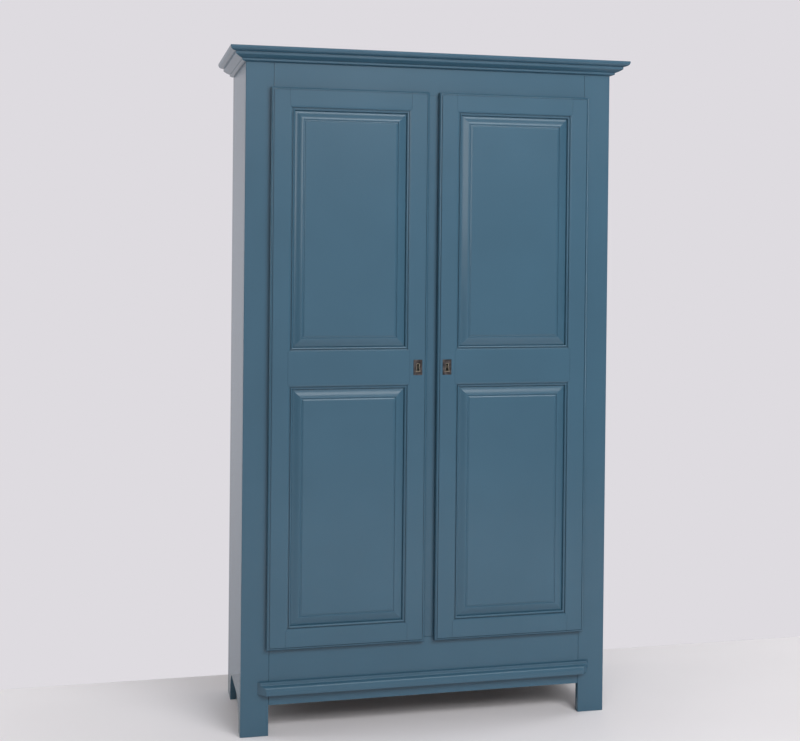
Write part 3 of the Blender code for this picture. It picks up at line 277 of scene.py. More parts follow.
class WARDROBE_PG_stage(bpy.types.PropertyGroup):
    """The camera, the lamps, the floor and the wall behind"""
    camera: FloatVectorProperty(name="Camera", description="Place of the camera", size=3,
                                subtype="TRANSLATION", unit="LENGTH",
                                default=(-0.9072, -3.7377, 1.4232))
    yaw: angle_deg("Yaw", 12.804, "Turn of the camera to the right of +Y")
    pitch: angle_deg("Pitch", -0.474, "Rise of the camera's aim")
    roll: angle_deg("Roll", 0.582, "Tilt of the camera")
    lens: FloatProperty(name="Lens", description="Focal length in millimetres on a 36 mm sensor",
                        default=56.93)
    shift: FloatProperty(name="Shift", description="Upward shift, as a share of the width",
                         default=-0.155)
    floor: hex_colour("Floor", "#E4E0E2", "Colour of the floor")
    wall: hex_colour("Wall", "#DEDBE0", "Colour behind the wardrobe")
    wall_distance: size_mm("Wall distance", 360.0, "Where the floor ends, behind the origin")
    floor_reach: size_mm("Floor reach", 4000.0, "How far the floor runs to the front and sides")


def deselect():
    """Leave nothing selected, in object mode."""
    if bpy.context.mode != "OBJECT":
        bpy.ops.object.mode_set(mode="OBJECT")
    bpy.ops.object.select_all(action="DESELECT")


def pick(*objects):
    """Select only these objects, the last one active."""
    deselect()
    for item in objects:
        item.select_set(True)
        bpy.context.view_layer.objects.active = item


def named(name):
    """Name the object just made, and its mesh."""
    made = bpy.context.active_object
    made.name = name
    made.data.name = name
    return made


def add_primitive(kind, name, **settings):
    """Add a primitive of a kind, with its place and scale taken into its mesh."""
    deselect()
    getattr(bpy.ops.mesh, f"primitive_{kind}_add")(**settings)
    bpy.ops.object.transform_apply()
    return named(name)


def edit(kind="VERT", action="SELECT"):
    """Enter edit mode for vertices, edges or faces, with all or none of them selected."""
    bpy.ops.object.mode_set(mode="EDIT")
    bpy.ops.mesh.select_mode(type=kind)
    bpy.ops.mesh.select_all(action=action)


def face_outwards():
    """Turn all faces of a closed mesh outwards, and leave edit mode."""
    bpy.ops.mesh.select_all(action="SELECT")
    bpy.ops.mesh.normals_make_consistent(inside=False)
    bpy.ops.object.mode_set(mode="OBJECT")


def draw_line(points):
    """Draw a line by extruding one vertex from point to point."""
    add_primitive("plane", "line", size=1.0, location=points[0])
    edit()
    bpy.ops.mesh.merge(type="CENTER")
    for before, after in zip(points, points[1:]):
        step = Vector(after) - Vector(before)
        bpy.ops.mesh.extrude_vertices_move(TRANSFORM_OT_translate={"value": step})
    bpy.ops.mesh.select_all(action="SELECT")


def extrude_outline(name, points, run):
    """Fill a closed outline and extrude it along run into a solid."""
    draw_line(points)
    bpy.ops.mesh.edge_face_add()
    bpy.ops.mesh.extrude_region_move(TRANSFORM_OT_translate={"value": run})
    face_outwards()
    return named(name)


def slice_off(piece, place, normal):
    """Cut away what lies on the normal's side of a plane, and close the cut."""
    pick(piece)
    edit()
    bpy.ops.mesh.bisect(plane_co=place, plane_no=normal, use_fill=True, clear_outer=True)
    face_outwards()


def add_block(name, low, high):
    """Add a cube primitive between two corners."""
    low, high = Vector(low), Vector(high)
    return add_primitive("cube", name, size=1.0, location=(low + high) / 2, scale=high - low)


def select_facing(piece, direction):
    """In edit mode, select only the face that looks most nearly along a direction."""
    pick(piece)
    edit("FACE", "DESELECT")
    bpy.ops.object.mode_set(mode="OBJECT")
    max(piece.data.polygons, key=lambda face: face.normal.dot(Vector(direction))).select = True
    bpy.ops.object.mode_set(mode="EDIT")


def inset_through(piece, direction, profile):
    """Inset and raise the face that looks along a direction through (inset, rise) places."""
    select_facing(piece, direction)
    last_inset, last_rise = 0.0, 0.0
    for inset, rise in profile:
        bpy.ops.mesh.inset(thickness=inset - last_inset, depth=rise - last_rise,
                           use_even_offset=True)
        last_inset, last_rise = inset, rise
    bpy.ops.object.mode_set(mode="OBJECT")


def add_modifier(piece, kind, **settings):
    """Add a modifier, set it and return it."""
    step = piece.modifiers.new(kind.lower(), kind)
    for key, value in settings.items():
        setattr(step, key, value)
    return step


def apply_modifier(piece, kind, **settings):
    """Add a modifier, set it and apply it."""
    pick(piece)
    bpy.ops.object.modifier_apply(modifier=add_modifier(piece, kind, **settings).name)


def subtract(piece, cutter):
    """Cut one solid out of another and remove the cutter."""
    apply_modifier(piece, "BOOLEAN", operation="DIFFERENCE", solver="EXACT", object=cutter)
    bpy.data.objects.remove(cutter, do_unlink=True)


def smooth_curves(piece):
    """Shade curves smooth and keep flats flat."""
    pick(piece)
    bpy.ops.object.shade_smooth_by_angle(angle=bpy.context.scene.wardrobe_edges.smooth_angle)
    apply_modifier(piece, "WEIGHTED_NORMAL", keep_sharp=True)


def arris(width, clamp):
    """Return the settings of a bevel that eases arrises by a width."""
    return {"width": width, "segments": 2, "limit_method": "ANGLE", "use_clamp_overlap": clamp,
            "angle_limit": bpy.context.scene.wardrobe_edges.smooth_angle}


def ease_edges(piece, width, clamp=True):
    """Round a new piece's arrises and shade its curves smooth."""
    apply_modifier(piece, "BEVEL", **arris(width, clamp))
    smooth_curves(piece)


def copy_node(node, name):
    """Copy a CAD node's solid into a new piece, with its triangles merged into flat faces."""
    pick(frame["nodes"][node])
    bpy.ops.object.duplicate()
    bpy.ops.object.parent_clear(type="CLEAR_KEEP_TRANSFORM")
    bpy.ops.object.transform_apply()
    copy = named(name)
    for key in list(copy.keys()):
        del copy[key]
    bpy.ops.mesh.customdata_custom_splitnormals_clear()
    edit()
    bpy.ops.mesh.remove_doubles(threshold=WELD)
    bpy.ops.mesh.dissolve_limited(angle_limit=FLAT_ANGLE)
    face_outwards()
    return copy


def copy_piece(piece, name, shift=(0.0, 0.0, 0.0)):
    """Copy an unfinished piece with its own mesh, and move the copy by shift."""
    pick(piece)
    bpy.ops.object.duplicate()
    bpy.ops.transform.translate(value=shift)
    bpy.ops.object.transform_apply()
    return named(name)


def near(first, second):
    """Say whether two distances are the same, give or take a hair."""
    return abs(first - second) < HAIR


def on_rim(low, high, spread=0.0):
    """Return a test for edges on the rim of an upright rectangle, grown all round by spread."""
    lines = ((0, low.x - spread), (0, high.x + spread), (2, low.z - spread), (2, high.z + spread))

    def test(a, b):
        """Say whether the edge from a to b lies on one side of the rectangle."""
        return near(a.y, low.y) and near(b.y, low.y) and any(
            near(a[axis], place) and near(b[axis], place) for axis, place in lines)
    return test


def select_edges(piece, chosen):
    """In edit mode, select only the edges whose two ends a test chooses."""
    pick(piece)
    edit("EDGE", "DESELECT")
    bpy.ops.object.mode_set(mode="OBJECT")
    points = piece.data.vertices
    for edge in piece.data.edges:
        edge.select = chosen(*(points[index].co for index in edge.vertices))
    bpy.ops.object.mode_set(mode="EDIT")


def round_edges(piece, radius, chosen):
    """Round, in four flats, the edges whose two ends a test chooses."""
    select_edges(piece, chosen)
    bpy.ops.mesh.bevel(offset=radius, segments=4, affect="EDGES")
    bpy.ops.object.mode_set(mode="OBJECT")


def sharpen_mitres(piece):
    """Mark the mitres of an upright frame sharp, so that its four sides are shaded apart."""
    select_edges(piece, lambda a, b: not near(a.x, b.x) and not near(a.z, b.z))
    bpy.ops.mesh.mark_sharp()
    bpy.ops.object.mode_set(mode="OBJECT")


def quarter(steps):
    """Return even steps round a quarter circle from (0, 0) to (1, 1), level at its start."""
    angles = [math.pi / 2 * step / steps for step in range(1, steps + 1)]
    return [(math.sin(angle), 1 - math.cos(angle)) for angle in angles]


def wave_step(steps):
    """Return even steps up an S from (0, 0) to (1, 1), level at both ends."""
    shares = [step / steps for step in range(1, steps + 1)]
    return [(share, (1 - math.cos(math.pi * share)) / 2) for share in shares]


def ogee(steps):
    """Return even steps up a steadier S from (0, 0) to (1, 1), which turns only near its ends."""
    leans = [math.sqrt(math.sin(math.pi * (step + 0.5) / steps)) for step in range(steps)]
    return [((step + 1) / steps, sum(leans[:step + 1]) / sum(leans)) for step in range(steps)]


def swell(start, end, steps):
    """Return even steps round an arc with a fall of 1, whose lean goes from start to end."""
    leans = [start + (end - start) * (step + 0.5) / steps for step in range(steps)]
    fall = sum(math.cos(lean) for lean in leans)
    return [(sum(math.sin(lean) for lean in leans[:step + 1]) / fall,
             sum(math.cos(lean) for lean in leans[:step + 1]) / fall) for step in range(steps)]


def upright(curve):
    """Return a curve with its two directions exchanged."""
    return [(b, a) for a, b in curve]


def trace(start, *spans):
    """Return the places of a profile from a start, through spans of a width, a rise and the
    curve that joins them, or a straight line if none is given."""
    places = [start]
    for width, rise, *curve in spans:
        across, level = places[-1]
        shares = curve[0] if curve else [(1, 1)]
        places += [(across + width * a, level + rise * b) for a, b in shares]
    return places


def finish_piece(piece, finish, body, node=None):
    """Give a new piece its finish, its body, and the CAD node that it stands for."""
    piece.data.materials.clear()
    piece.data.materials.append(material_named(finish))
    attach(piece, body)
    if node:
        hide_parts(node)


def finish_pair(left, across, finish, node=None):
    """Copy a left door's piece across to the right door, and finish both."""
    right = copy_piece(left, left.name.replace("left", "right"), across)
    for label, item in (("left", left), ("right", right)):
        finish_piece(item, finish, f"{label}_door", node and f"{label}_{node}")


def add_node(tree, kind, inputs=None, to=None, **settings):
    """Add one node and set it, fill its inputs with values, or from other nodes or their
    outputs, and link what it gives to one of the shader's inputs."""
    made = tree.nodes.new("ShaderNode" + kind)
    for key, value in settings.items():
        setattr(made, key, value)
    for key, value in (inputs or {}).items():
        if isinstance(value, bpy.types.Node):
            value = given(value)
        if isinstance(value, bpy.types.NodeSocket):
            tree.links.new(value, made.inputs[key])
        else:
            made.inputs[key].default_value = value
    if to:
        tree.links.new(given(made), tree.nodes["Principled BSDF"].inputs[to])
    return made


def given(node):
    """Return the first output that a node has in use."""
    return next(socket for socket in node.outputs if socket.enabled)


def new_material(name, fixed=None):
    """Start a material, set its shader's fixed values, and return it, a function that adds
    nodes to it, and its object coordinates."""
    material = bpy.data.materials.new(name)
    material.use_nodes = True
    for key, value in (fixed or {}).items():
        material.node_tree.nodes["Principled BSDF"].inputs[key].default_value = value
    add = partial(add_node, material.node_tree)
    return material, add, add("TexCoord").outputs["Object"]


def stretch(add, place, along, fine, coarse):
    """Scale coordinates so that a pattern is fine across the grain and long along it."""
    scale = [1 / fine] * 3
    scale["XYZ".index(along)] = 1 / coarse
    return add("Mapping", {"Vector": place, "Scale": scale})


def brushed_satin_paint(name, along):
    """Satin alkyd paint, brushed on old pine: an even blue-grey with faint strokes in the sheen."""
    finish = bpy.context.scene.wardrobe_finish
    material, add, place = new_material(name)
    # The strokes are drawn 3 mm wide, a little coarser than real ones, so that they show.
    strokes = add("TexNoise", {
        "Vector": stretch(add, place, along, finish.stroke_width, 180 * MM),
        "Scale": 1.0, "Detail": 3.0, "Roughness": 0.55})
    stroke_shade = add("MapRange", {
        **NOISE_RANGE, "Value": strokes, "To Min": 0.994, "To Max": 1.006})
    # Colour drifts slowly where coats overlap.
    drift = add("TexNoise", {"Vector": place, "Scale": 1 / (220 * MM), "Detail": 2.0})
    drift_shade = add("MapRange", {
        **NOISE_RANGE, "Value": drift, "To Min": 0.965, "To Max": 1.035})
    shade = add("Math", {0: drift_shade, 1: stroke_shade}, operation="MULTIPLY")
    add("VectorMath", {0: list(finish.paint), "Scale": shade}, to="Base Color", operation="SCALE")
    sheen_spread = 0.006
    add("MapRange", {
        **NOISE_RANGE, "Value": strokes, "To Min": finish.paint_roughness - sheen_spread,
        "To Max": finish.paint_roughness + sheen_spread}, to="Roughness")
    # Orange peel, about 1.5 mm across, lies under the strokes.
    peel = add("TexNoise", {"Vector": place, "Scale": 1 / (1.5 * MM), "Detail": 1.0})
    peel_bump = add("Bump", {"Height": peel, "Strength": 0.05, "Distance": 0.03 * MM})
    add("Bump", {"Height": strokes, "Strength": 0.03, "Distance": 0.05 * MM,
                 "Normal": peel_bump}, to="Normal")
    return material


def waxed_pine(name, along, tone=1.0):
    """Planed and waxed pine: warm early wood, darker late rings, a low sheen, and painted shade below
    the floor board.
    """
    finish = bpy.context.scene.wardrobe_finish
    material, add, place = new_material(name)
    # The rings wander by up to 45 mm along a board.
    wander = add("TexNoise", {
        "Vector": stretch(add, place, along, 60 * MM, 700 * MM), "Scale": 1.0,
        "Detail": 2.0}).outputs["Color"]
    bent = add("VectorMath", {0: wander, 1: [45 * MM] * 3, 2: place}, operation="MULTIPLY_ADD")
    rings = add("TexNoise", {
        "Vector": stretch(add, bent, along, finish.ring_width, 900 * MM),
        "Scale": 1.0, "Detail": 1.0})
    fibre = add("TexNoise", {
        "Vector": stretch(add, place, along, 0.7 * MM, 30 * MM), "Scale": 1.0, "Detail": 2.0})
    band = add("MapRange", {"Value": rings, "From Min": 0.38, "From Max": 0.66})
    grain = add("Mix", {
        "Factor": band, "A": rgba([c * tone for c in finish.pine]),
        "B": rgba([c * tone for c in finish.pine_late])}, data_type="RGBA")
    speck = add("MapRange", {**NOISE_RANGE, "Value": fibre, "To Min": 0.90, "To Max": 1.08})
    # Below a set height, under the floor board, the bare wood is painted dark as shade, so that the
    # floor under the wardrobe takes little warm bounce light and stays dark.
    height = add("SeparateXYZ", {0: place}).outputs["Z"]
    under = add("MapRange", {
        "Value": height, "From Min": finish.painted_shade_line - 2 * MM,
        "From Max": finish.painted_shade_line + 2 * MM, "To Min": finish.painted_shade_tone, "To Max": 1.0})
    shade = add("Math", {0: speck, 1: under}, operation="MULTIPLY")
    add("VectorMath", {0: grain, "Scale": shade}, to="Base Color", operation="SCALE")
    add("MapRange", {"Value": band, "To Min": 0.58, "To Max": 0.48}, to="Roughness")
    add("Bump", {"Height": fibre, "Strength": 0.3, "Distance": 0.12 * MM}, to="Normal")
    return material


def aged_cast_brass(name):
    """Cast brass left to darken: brown patina in the hollows, rubbed brighter in patches."""
    finish = bpy.context.scene.wardrobe_finish
    material, add, place = new_material(name, {"Metallic": 1.0})
    patches = add("TexNoise", {
        "Vector": place, "Scale": 1 / (9 * MM), "Detail": 3.0, "Roughness": 0.5})
    rubbed = add("MapRange", {"Value": patches, "From Min": 0.32, "From Max": 0.72})
    add("Mix", {"Factor": rubbed, "A": rgba(finish.patina), "B": rgba(finish.brass)},
        to="Base Color", data_type="RGBA")
    add("MapRange", {"Value": rubbed, "To Min": 0.50, "To Max": 0.28}, to="Roughness")
    pits = add("TexNoise", {"Vector": place, "Scale": 1 / (0.8 * MM), "Detail": 2.0})
    add("Bump", {"Height": pits, "Strength": 0.25, "Distance": 0.06 * MM}, to="Normal")
    return material


def streaked_metal(name, colour, along, fine, coarse, shades, sheens):
    """A bare metal whose colour and sheen change from one fine streak to the next."""
    material, add, place = new_material(name, {"Metallic": 1.0})
    streaks = add("TexNoise", {
        "Vector": stretch(add, place, along, fine, coarse), "Scale": 1.0, "Detail": 2.0})
    shade = add("MapRange", {
        **NOISE_RANGE, "Value": streaks, "To Min": shades[0], "To Max": shades[1]})
    add("VectorMath", {0: list(colour), "Scale": shade}, to="Base Color", operation="SCALE")
    add("MapRange", {"Value": streaks, "To Min": sheens[0], "To Max": sheens[1]}, to="Roughness")
    return material


def worn_brass_lining(name):
    """Drawn brass rubbed bright by the key: pale and warm, with fine scratches along its run."""
    return streaked_metal(name, bpy.context.scene.wardrobe_finish.lining, "Y", 0.3 * MM, 6 * MM,
                          (0.8, 1.1), (0.20, 0.32))


def dull_rolled_steel(name):
    """Rolled mild steel with a dull skin: grey, faintly streaked and slightly tarnished."""
    return streaked_metal(name, bpy.context.scene.wardrobe_finish.steel, "X", 0.5 * MM, 14 * MM,
                          (0.75, 1.1), (0.36, 0.52))


FINISHES = {
    "satin_paint_upright": (brushed_satin_paint, "Z"),
    "satin_paint_level": (brushed_satin_paint, "X"),
    "satin_paint_depth": (brushed_satin_paint, "Y"),
    "waxed_pine_upright": (waxed_pine, "Z"),
    "waxed_pine_level": (waxed_pine, "X"),
    "waxed_pine_depth": (waxed_pine, "Y"),
    "turned_waxed_pine": (waxed_pine, "Y", 0.7),
    "aged_cast_brass": (aged_cast_brass,),
    "worn_brass_lining": (worn_brass_lining,),
    "dull_rolled_steel": (dull_rolled_steel,),
}


def material_named(name):
    """Return a finish, making it the first time it is asked for."""
    maker, *settings = FINISHES[name]
    return bpy.data.materials.get(name) or maker(name, *settings)


def dress_node(name, finish, width):
    """Give a CAD node its finish, arrises eased by a width, and smooth curves."""
    node = frame["nodes"][name]
    node.data.materials.clear()
    node.data.materials.append(material_named(finish))
    add_modifier(node, "WELD", merge_threshold=WELD)
    add_modifier(node, "BEVEL", **arris(width, False))
    add_modifier(node, "WEIGHTED_NORMAL", keep_sharp=True)


def dress_nodes(listed):
    """Dress the CAD nodes that are listed by finish, with the carcass's arrises."""
    for finish, names in listed.items():
        for name in names:
            dress_node(name, finish, bpy.context.scene.wardrobe_edges.carcass)


class WARDROBE_OT_carcass(bpy.types.Operator):
    """Paint the face frame, the sides and the top board, and ease their arrises"""
    bl_idname = "wardrobe.carcass"
    bl_label = "Carcass"

    def execute(self, context):
        dress_nodes(PAINTED_NODES)
        return {"FINISHED"}


class WARDROBE_OT_inside(bpy.types.Operator):
    """Finish the bare boards, rails, shelf and cleats inside and at the back"""
    bl_idname = "wardrobe.inside"
    bl_label = "Inside and back"

    def execute(self, context):
        dress_nodes(BARE_NODES)
        return {"FINISHED"}


class WARDROBE_OT_door_frames(bpy.types.Operator):
    """Paint the doors' stiles and rails, and work the fine grooves in their faces"""
    bl_idname = "wardrobe.door_frames"
    bl_label = "Door frames"

    def openings(self, label):
        """Return the low and high corner of a door's face, and of each of its openings."""
        stiles = [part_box(f"{label}_door_{part}_stile") for part in ("hinge", "lock")]
        left, right = sorted(stiles, key=lambda box: box[0].x)
        rails = [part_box(f"{label}_door_{part}_rail") for part in ("bottom", "middle", "top")]
        front = left[0].y
        face = (Vector(left[0]), Vector((right[1].x, front, right[1].z)))
        return face, [(Vector((left[1].x, front, below[1].z)),
                       Vector((right[0].x, front, above[0].z)))
                      for below, above in zip(rails, rails[1:])]

    def ring(self, low, high, near_spread, far_spread, depth):
        """Make a rectangular ring to cut with, between two spreads outside two corners."""
        outer, inner = [add_block("ring_cutter", (
            low.x - spread, low.y - reach, low.z - spread), (
            high.x + spread, low.y + depth + reach - OVERRUN, high.z + spread))
            for spread, reach in ((far_spread, OVERRUN), (near_spread, 3 * OVERRUN))]
        subtract(outer, inner)
        return outer

    def bead(self, name, low, high, sizes):
        """Model one bead: a frame of four mitred lengths whose face falls towards the panel."""
        front = low.y + sizes.bead_fall
        middle = (low + high) / 2
        deselect()
        bpy.ops.mesh.primitive_plane_add(size=1.0, location=(middle.x, front, middle.z),
                                         rotation=(math.pi / 2, 0.0, 0.0))
        piece = named(name)
        piece.scale = (high.x - low.x + 2 * sizes.bead, high.z - low.z + 2 * sizes.bead, 1.0)
        bpy.ops.object.transform_apply()
        edit("FACE")
        bpy.ops.mesh.inset(thickness=sizes.bead, use_even_offset=True)
        bpy.ops.mesh.delete(type="FACE")
        bpy.ops.mesh.select_all(action="SELECT")
        depth = sizes.bead_groove_depth - sizes.bead_fall
        bpy.ops.mesh.extrude_region_move(TRANSFORM_OT_translate={"value": (0.0, depth, 0.0)})
        face_outwards()
        slope = Vector((0.0, sizes.bead_slope, 0.0))
        corners = [Vector((corner.x, front, corner.z)) for corner in (low, high)]
        select_edges(piece, on_rim(*corners))
        bpy.ops.transform.translate(value=slope)
        round_edges(piece, sizes.bead_round, on_rim(*(corner + slope for corner in corners)))
        round_edges(piece, sizes.bead_arris, on_rim(*corners, sizes.bead))
        sharpen_mitres(piece)
        smooth_curves(piece)
        return piece

    def execute(self, context):
        sizes = context.scene.wardrobe_door
        doors = []
        for label, _ in SIDES:
            (low, high), openings = self.openings(label)
            rings = [self.ring(low, high, -sizes.edge - sizes.edge_groove, -sizes.edge,
                               sizes.edge_groove_depth)]
            reach = sizes.bead + sizes.bead_groove
            rings += [self.ring(*opening, -OVERRUN, reach, sizes.bead_groove_depth)
                      for opening in openings]
            rims = [on_rim(*opening, reach) for opening in openings]
            for part in ("hinge_stile", "lock_stile", "top_rail", "middle_rail", "bottom_rail"):
                node = f"{label}_door_{part}"
                piece = copy_node(node, f"{label}_moulded_{part}")
                if part != "middle_rail":
                    round_edges(piece, sizes.round_over, on_rim(low, high))
                for ring in rings:
                    apply_modifier(piece, "BOOLEAN", operation="DIFFERENCE", solver="EXACT",
                                   object=ring)
                round_edges(piece, sizes.groove_arris, lambda a, b: any(rim(a, b) for rim in rims))
                ease_edges(piece, context.scene.wardrobe_edges.door, clamp=False)
                grain = "satin_paint_upright" if part.endswith("stile") else "satin_paint_level"
                finish_piece(piece, grain, f"{label}_door", node)
            for ring in rings:
                bpy.data.objects.remove(ring, do_unlink=True)
            doors.append(openings)
        for level, (low, high), (twin_low, _) in zip(LEVELS, *doors):
            bead = self.bead(f"left_{level}_bead", low, high, sizes)
            finish_pair(bead, twin_low - low, "satin_paint_upright")
        return {"FINISHED"}


class WARDROBE_OT_panels(bpy.types.Operator):
    """Model the four raised panels by insetting a board through their profile"""
    bl_idname = "wardrobe.panels"
    bl_label = "Raised panels"

    def profile(self, sizes):
        """Return the panel's (inset, rise) places, from its tongue to its field."""
        return trace((sizes.tongue, 0.0), (sizes.shoulder / 2, sizes.shoulder),
                     (sizes.ogee_width, sizes.ogee_rise, ogee(sizes.steps)),
                     (sizes.quirk_width, -sizes.quirk_fall, wave_step(2)),
                     (sizes.fillet_width, sizes.fillet_rise, wave_step(4)))

    def execute(self, context):
        sizes = context.scene.wardrobe_panel
        for level in LEVELS:
            low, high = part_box(f"left_door_{level}_panel")
            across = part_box(f"right_door_{level}_panel")[0] - low
            blank_low = (low.x, high.y - sizes.tongue_thickness, low.z)
            panel = add_block(f"left_{level}_raised_panel", blank_low, high)
            inset_through(panel, FRONT, self.profile(sizes))
            sharpen_mitres(panel)
            smooth_curves(panel)
            finish_pair(panel, across, "satin_paint_upright", f"door_{level}_panel")
        return {"FINISHED"}


class WARDROBE_OT_cornice(bpy.types.Operator):
    """Model the cornice in three lengths, mitred at the front corners"""
    bl_idname = "wardrobe.cornice"
    bl_label = "Cornice"

    def outline(self, sizes, projection, height):
        """Return the profile as (projection, height above the foot)."""
        return trace((0.0, height), (projection, 0.0), (0.0, -sizes.top_fillet),
                     (-sizes.ovolo_width, -sizes.ovolo_drop, upright(quarter(sizes.steps))),
                     (-sizes.step, 0.0), (0.0, -sizes.band),
                     (-sizes.swell_drop, -sizes.swell_drop,
                      swell(sizes.swell_start, sizes.swell_end, sizes.steps)),
                     (0.0, -sizes.bead)) + [(sizes.foot, 0.0), (0.0, 0.0)]

    def execute(self, context):
        sizes = context.scene.wardrobe_cornice
        width = context.scene.wardrobe_edges.moulding
        low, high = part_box("cornice_front")
        projection, height = high.y - low.y, high.z - low.z
        outline = self.outline(sizes, projection, height)
        face_y, gap = high.y, sizes.mitre_gap
        front = extrude_outline("cornice_front_length", [
            (low.x, face_y - out, low.z + level) for out, level in outline],
            (high.x - low.x, 0.0, 0.0))
        for label, side in SIDES:
            node = f"cornice_{label}"
            side_low, side_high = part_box(node)
            wall_x = side_high.x if side < 0 else side_low.x
            back_y = side_high.y
            corner = Vector((wall_x, face_y, 0.0))
            slice_off(front, corner - Vector((side * gap, 0.0, 0.0)), (side * LEAN, 1.0, 0.0))
            end = extrude_outline(f"cornice_{label}_return", [
                (wall_x + side * out, face_y - projection, low.z + level)
                for out, level in outline], (0.0, back_y - face_y + projection, 0.0))
            slice_off(end, corner, (-side, -1.0, 0.0))
            ease_edges(end, width)
            finish_piece(end, "satin_paint_depth", "carcass", node)
        ease_edges(front, width)
        finish_piece(front, "satin_paint_level", "carcass", "cornice_front")
        return {"FINISHED"}


class WARDROBE_OT_plinth(bpy.types.Operator):
    """Model the moulding across the bottom rail, with its splayed ends"""
    bl_idname = "wardrobe.plinth"
    bl_label = "Bottom moulding"

    def outline(self, sizes, projection, height):
        """Return the profile as (projection, height above the underside)."""
        rounded = [(1 - a, 1 - b) for a, b in reversed(quarter(sizes.steps)[:-1])] + [(1, 1)]
        places = trace((0.0, 0.0), (projection, 0.0), (0.0, sizes.nose),
                       (-sizes.step, sizes.step_rise),
                       (-sizes.ovolo_width, sizes.ovolo_rise, rounded), (-sizes.quirk, 0.0),
                       (-sizes.cove_width, sizes.cove_rise, quarter(sizes.steps)))
        return places + [(places[-1][0], height), (0.0, height)]

    def execute(self, context):
        low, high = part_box("plinth_moulding")
        outline = self.outline(context.scene.wardrobe_plinth, high.y - low.y, high.z - low.z)
        moulding = extrude_outline("bottom_moulding", [
            (low.x, high.y - out, low.z + level) for out, level in outline],
            (high.x - low.x, 0.0, 0.0))
        for _, side in SIDES:
            wall_x = low.x if side < 0 else high.x
            slice_off(moulding, (wall_x, high.y, 0.0), (side * LEAN, -1.0, 0.0))
        ease_edges(moulding, context.scene.wardrobe_edges.moulding)
        finish_piece(moulding, "satin_paint_level", "carcass", "plinth_moulding")
        return {"FINISHED"}


class WARDROBE_OT_plates(bpy.types.Operator):
    """Model the two keyhole plates, each pinned at its top and its foot"""
    bl_idname = "wardrobe.plates"
    bl_label = "Keyhole plates"

    def outline(self, sizes, middle, grow=0.0):
        """Return the keyhole's outline, grown all round, as (x, z) places."""
        eye = sizes.eye + grow
        neck = math.asin((sizes.skirt_top / 2 + grow) / eye)
        points = []
        for step in range(sizes.steps + 1):
            angle = -math.pi / 2 + neck + 2 * (math.pi - neck) * step / sizes.steps
            points.append((eye * math.cos(angle), sizes.eye_rise + eye * math.sin(angle)))
        foot, drop = sizes.skirt_foot / 2 + grow, sizes.skirt_drop + grow
        points += [(-foot, -drop), (foot, -drop)]
        return [(middle.x + x, middle.z + z) for x, z in points]

    def keyhole(self, sizes, middle, front_y, back_y, grow=0.0):
        """Return a solid the shape of the keyhole, between two depths."""
        return extrude_outline("keyhole_shape", [
            (x, front_y, z) for x, z in self.outline(sizes, middle, grow)],
            (0.0, back_y - front_y, 0.0))

    def plate(self, sizes, low, high):
        """Model the plate: a blank with a bevelled rim, cut through by the keyhole."""
        middle, thickness = (low + high) / 2, high.y - low.y
        plate = add_block("left_plate", (low.x, high.y - sizes.rim, low.z), high)
        inset_through(plate, FRONT, [(sizes.bevel, thickness - sizes.rim)])
        sharpen_mitres(plate)
        subtract(plate, self.keyhole(sizes, middle, low.y - thickness, high.y + thickness,
                                     grow=sizes.lining))
        ease_edges(plate, bpy.context.scene.wardrobe_edges.metal)
        return plate

    def lining(self, sizes, low, high):
        """Model the sleeve that lines the keyhole, with a rounded mouth."""
        middle, back = (low + high) / 2, high.y + sizes.lining_depth
        self.keyhole(sizes, middle, low.y, back, grow=sizes.lining - sizes.lining_fit)
        sleeve = named("left_keyhole_lining")
        subtract(sleeve, self.keyhole(sizes, middle, low.y - sizes.bevel, back + sizes.bevel))
        mouth = self.outline(sizes, middle)
        round_edges(sleeve, sizes.mouth * sizes.lining, lambda *ends: all(
            near(end.y, low.y) and any(near(end.x, x) and near(end.z, z) for x, z in mouth)
            for end in ends))
        smooth_curves(sleeve)
        return sleeve

    def pin(self, sizes, place):
        """Model one low domed pin head on the plate."""
        head = add_primitive("uv_sphere", "left_plate_top_pin", segments=sizes.pin_steps,
                             ring_count=sizes.pin_steps // 2, radius=sizes.pin_radius,
                             location=place, scale=(1.0, sizes.pin_dome, 1.0))
        slice_off(head, place, BACK)
        bpy.ops.object.shade_smooth_by_angle(angle=TURNED_ANGLE)
        return head

    def execute(self, context):
        sizes = context.scene.wardrobe_plate
        low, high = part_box("left_keyhole_plate")
        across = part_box("right_keyhole_plate")[0] - low
        top = Vector(((low.x + high.x) / 2, low.y + sizes.pin_sunk, high.z - sizes.pin_margin))
        drop = Vector((0.0, 0.0, low.z - high.z + 2 * sizes.pin_margin))
        pin = self.pin(sizes, top)
        for item in (pin, copy_piece(pin, "left_plate_foot_pin", drop)):
            finish_pair(item, across, "aged_cast_brass")
        finish_pair(self.lining(sizes, low, high), across, "worn_brass_lining")
        finish_pair(self.plate(sizes, low, high), across, "aged_cast_brass",
                    "keyhole_plate")
        return {"FINISHED"}


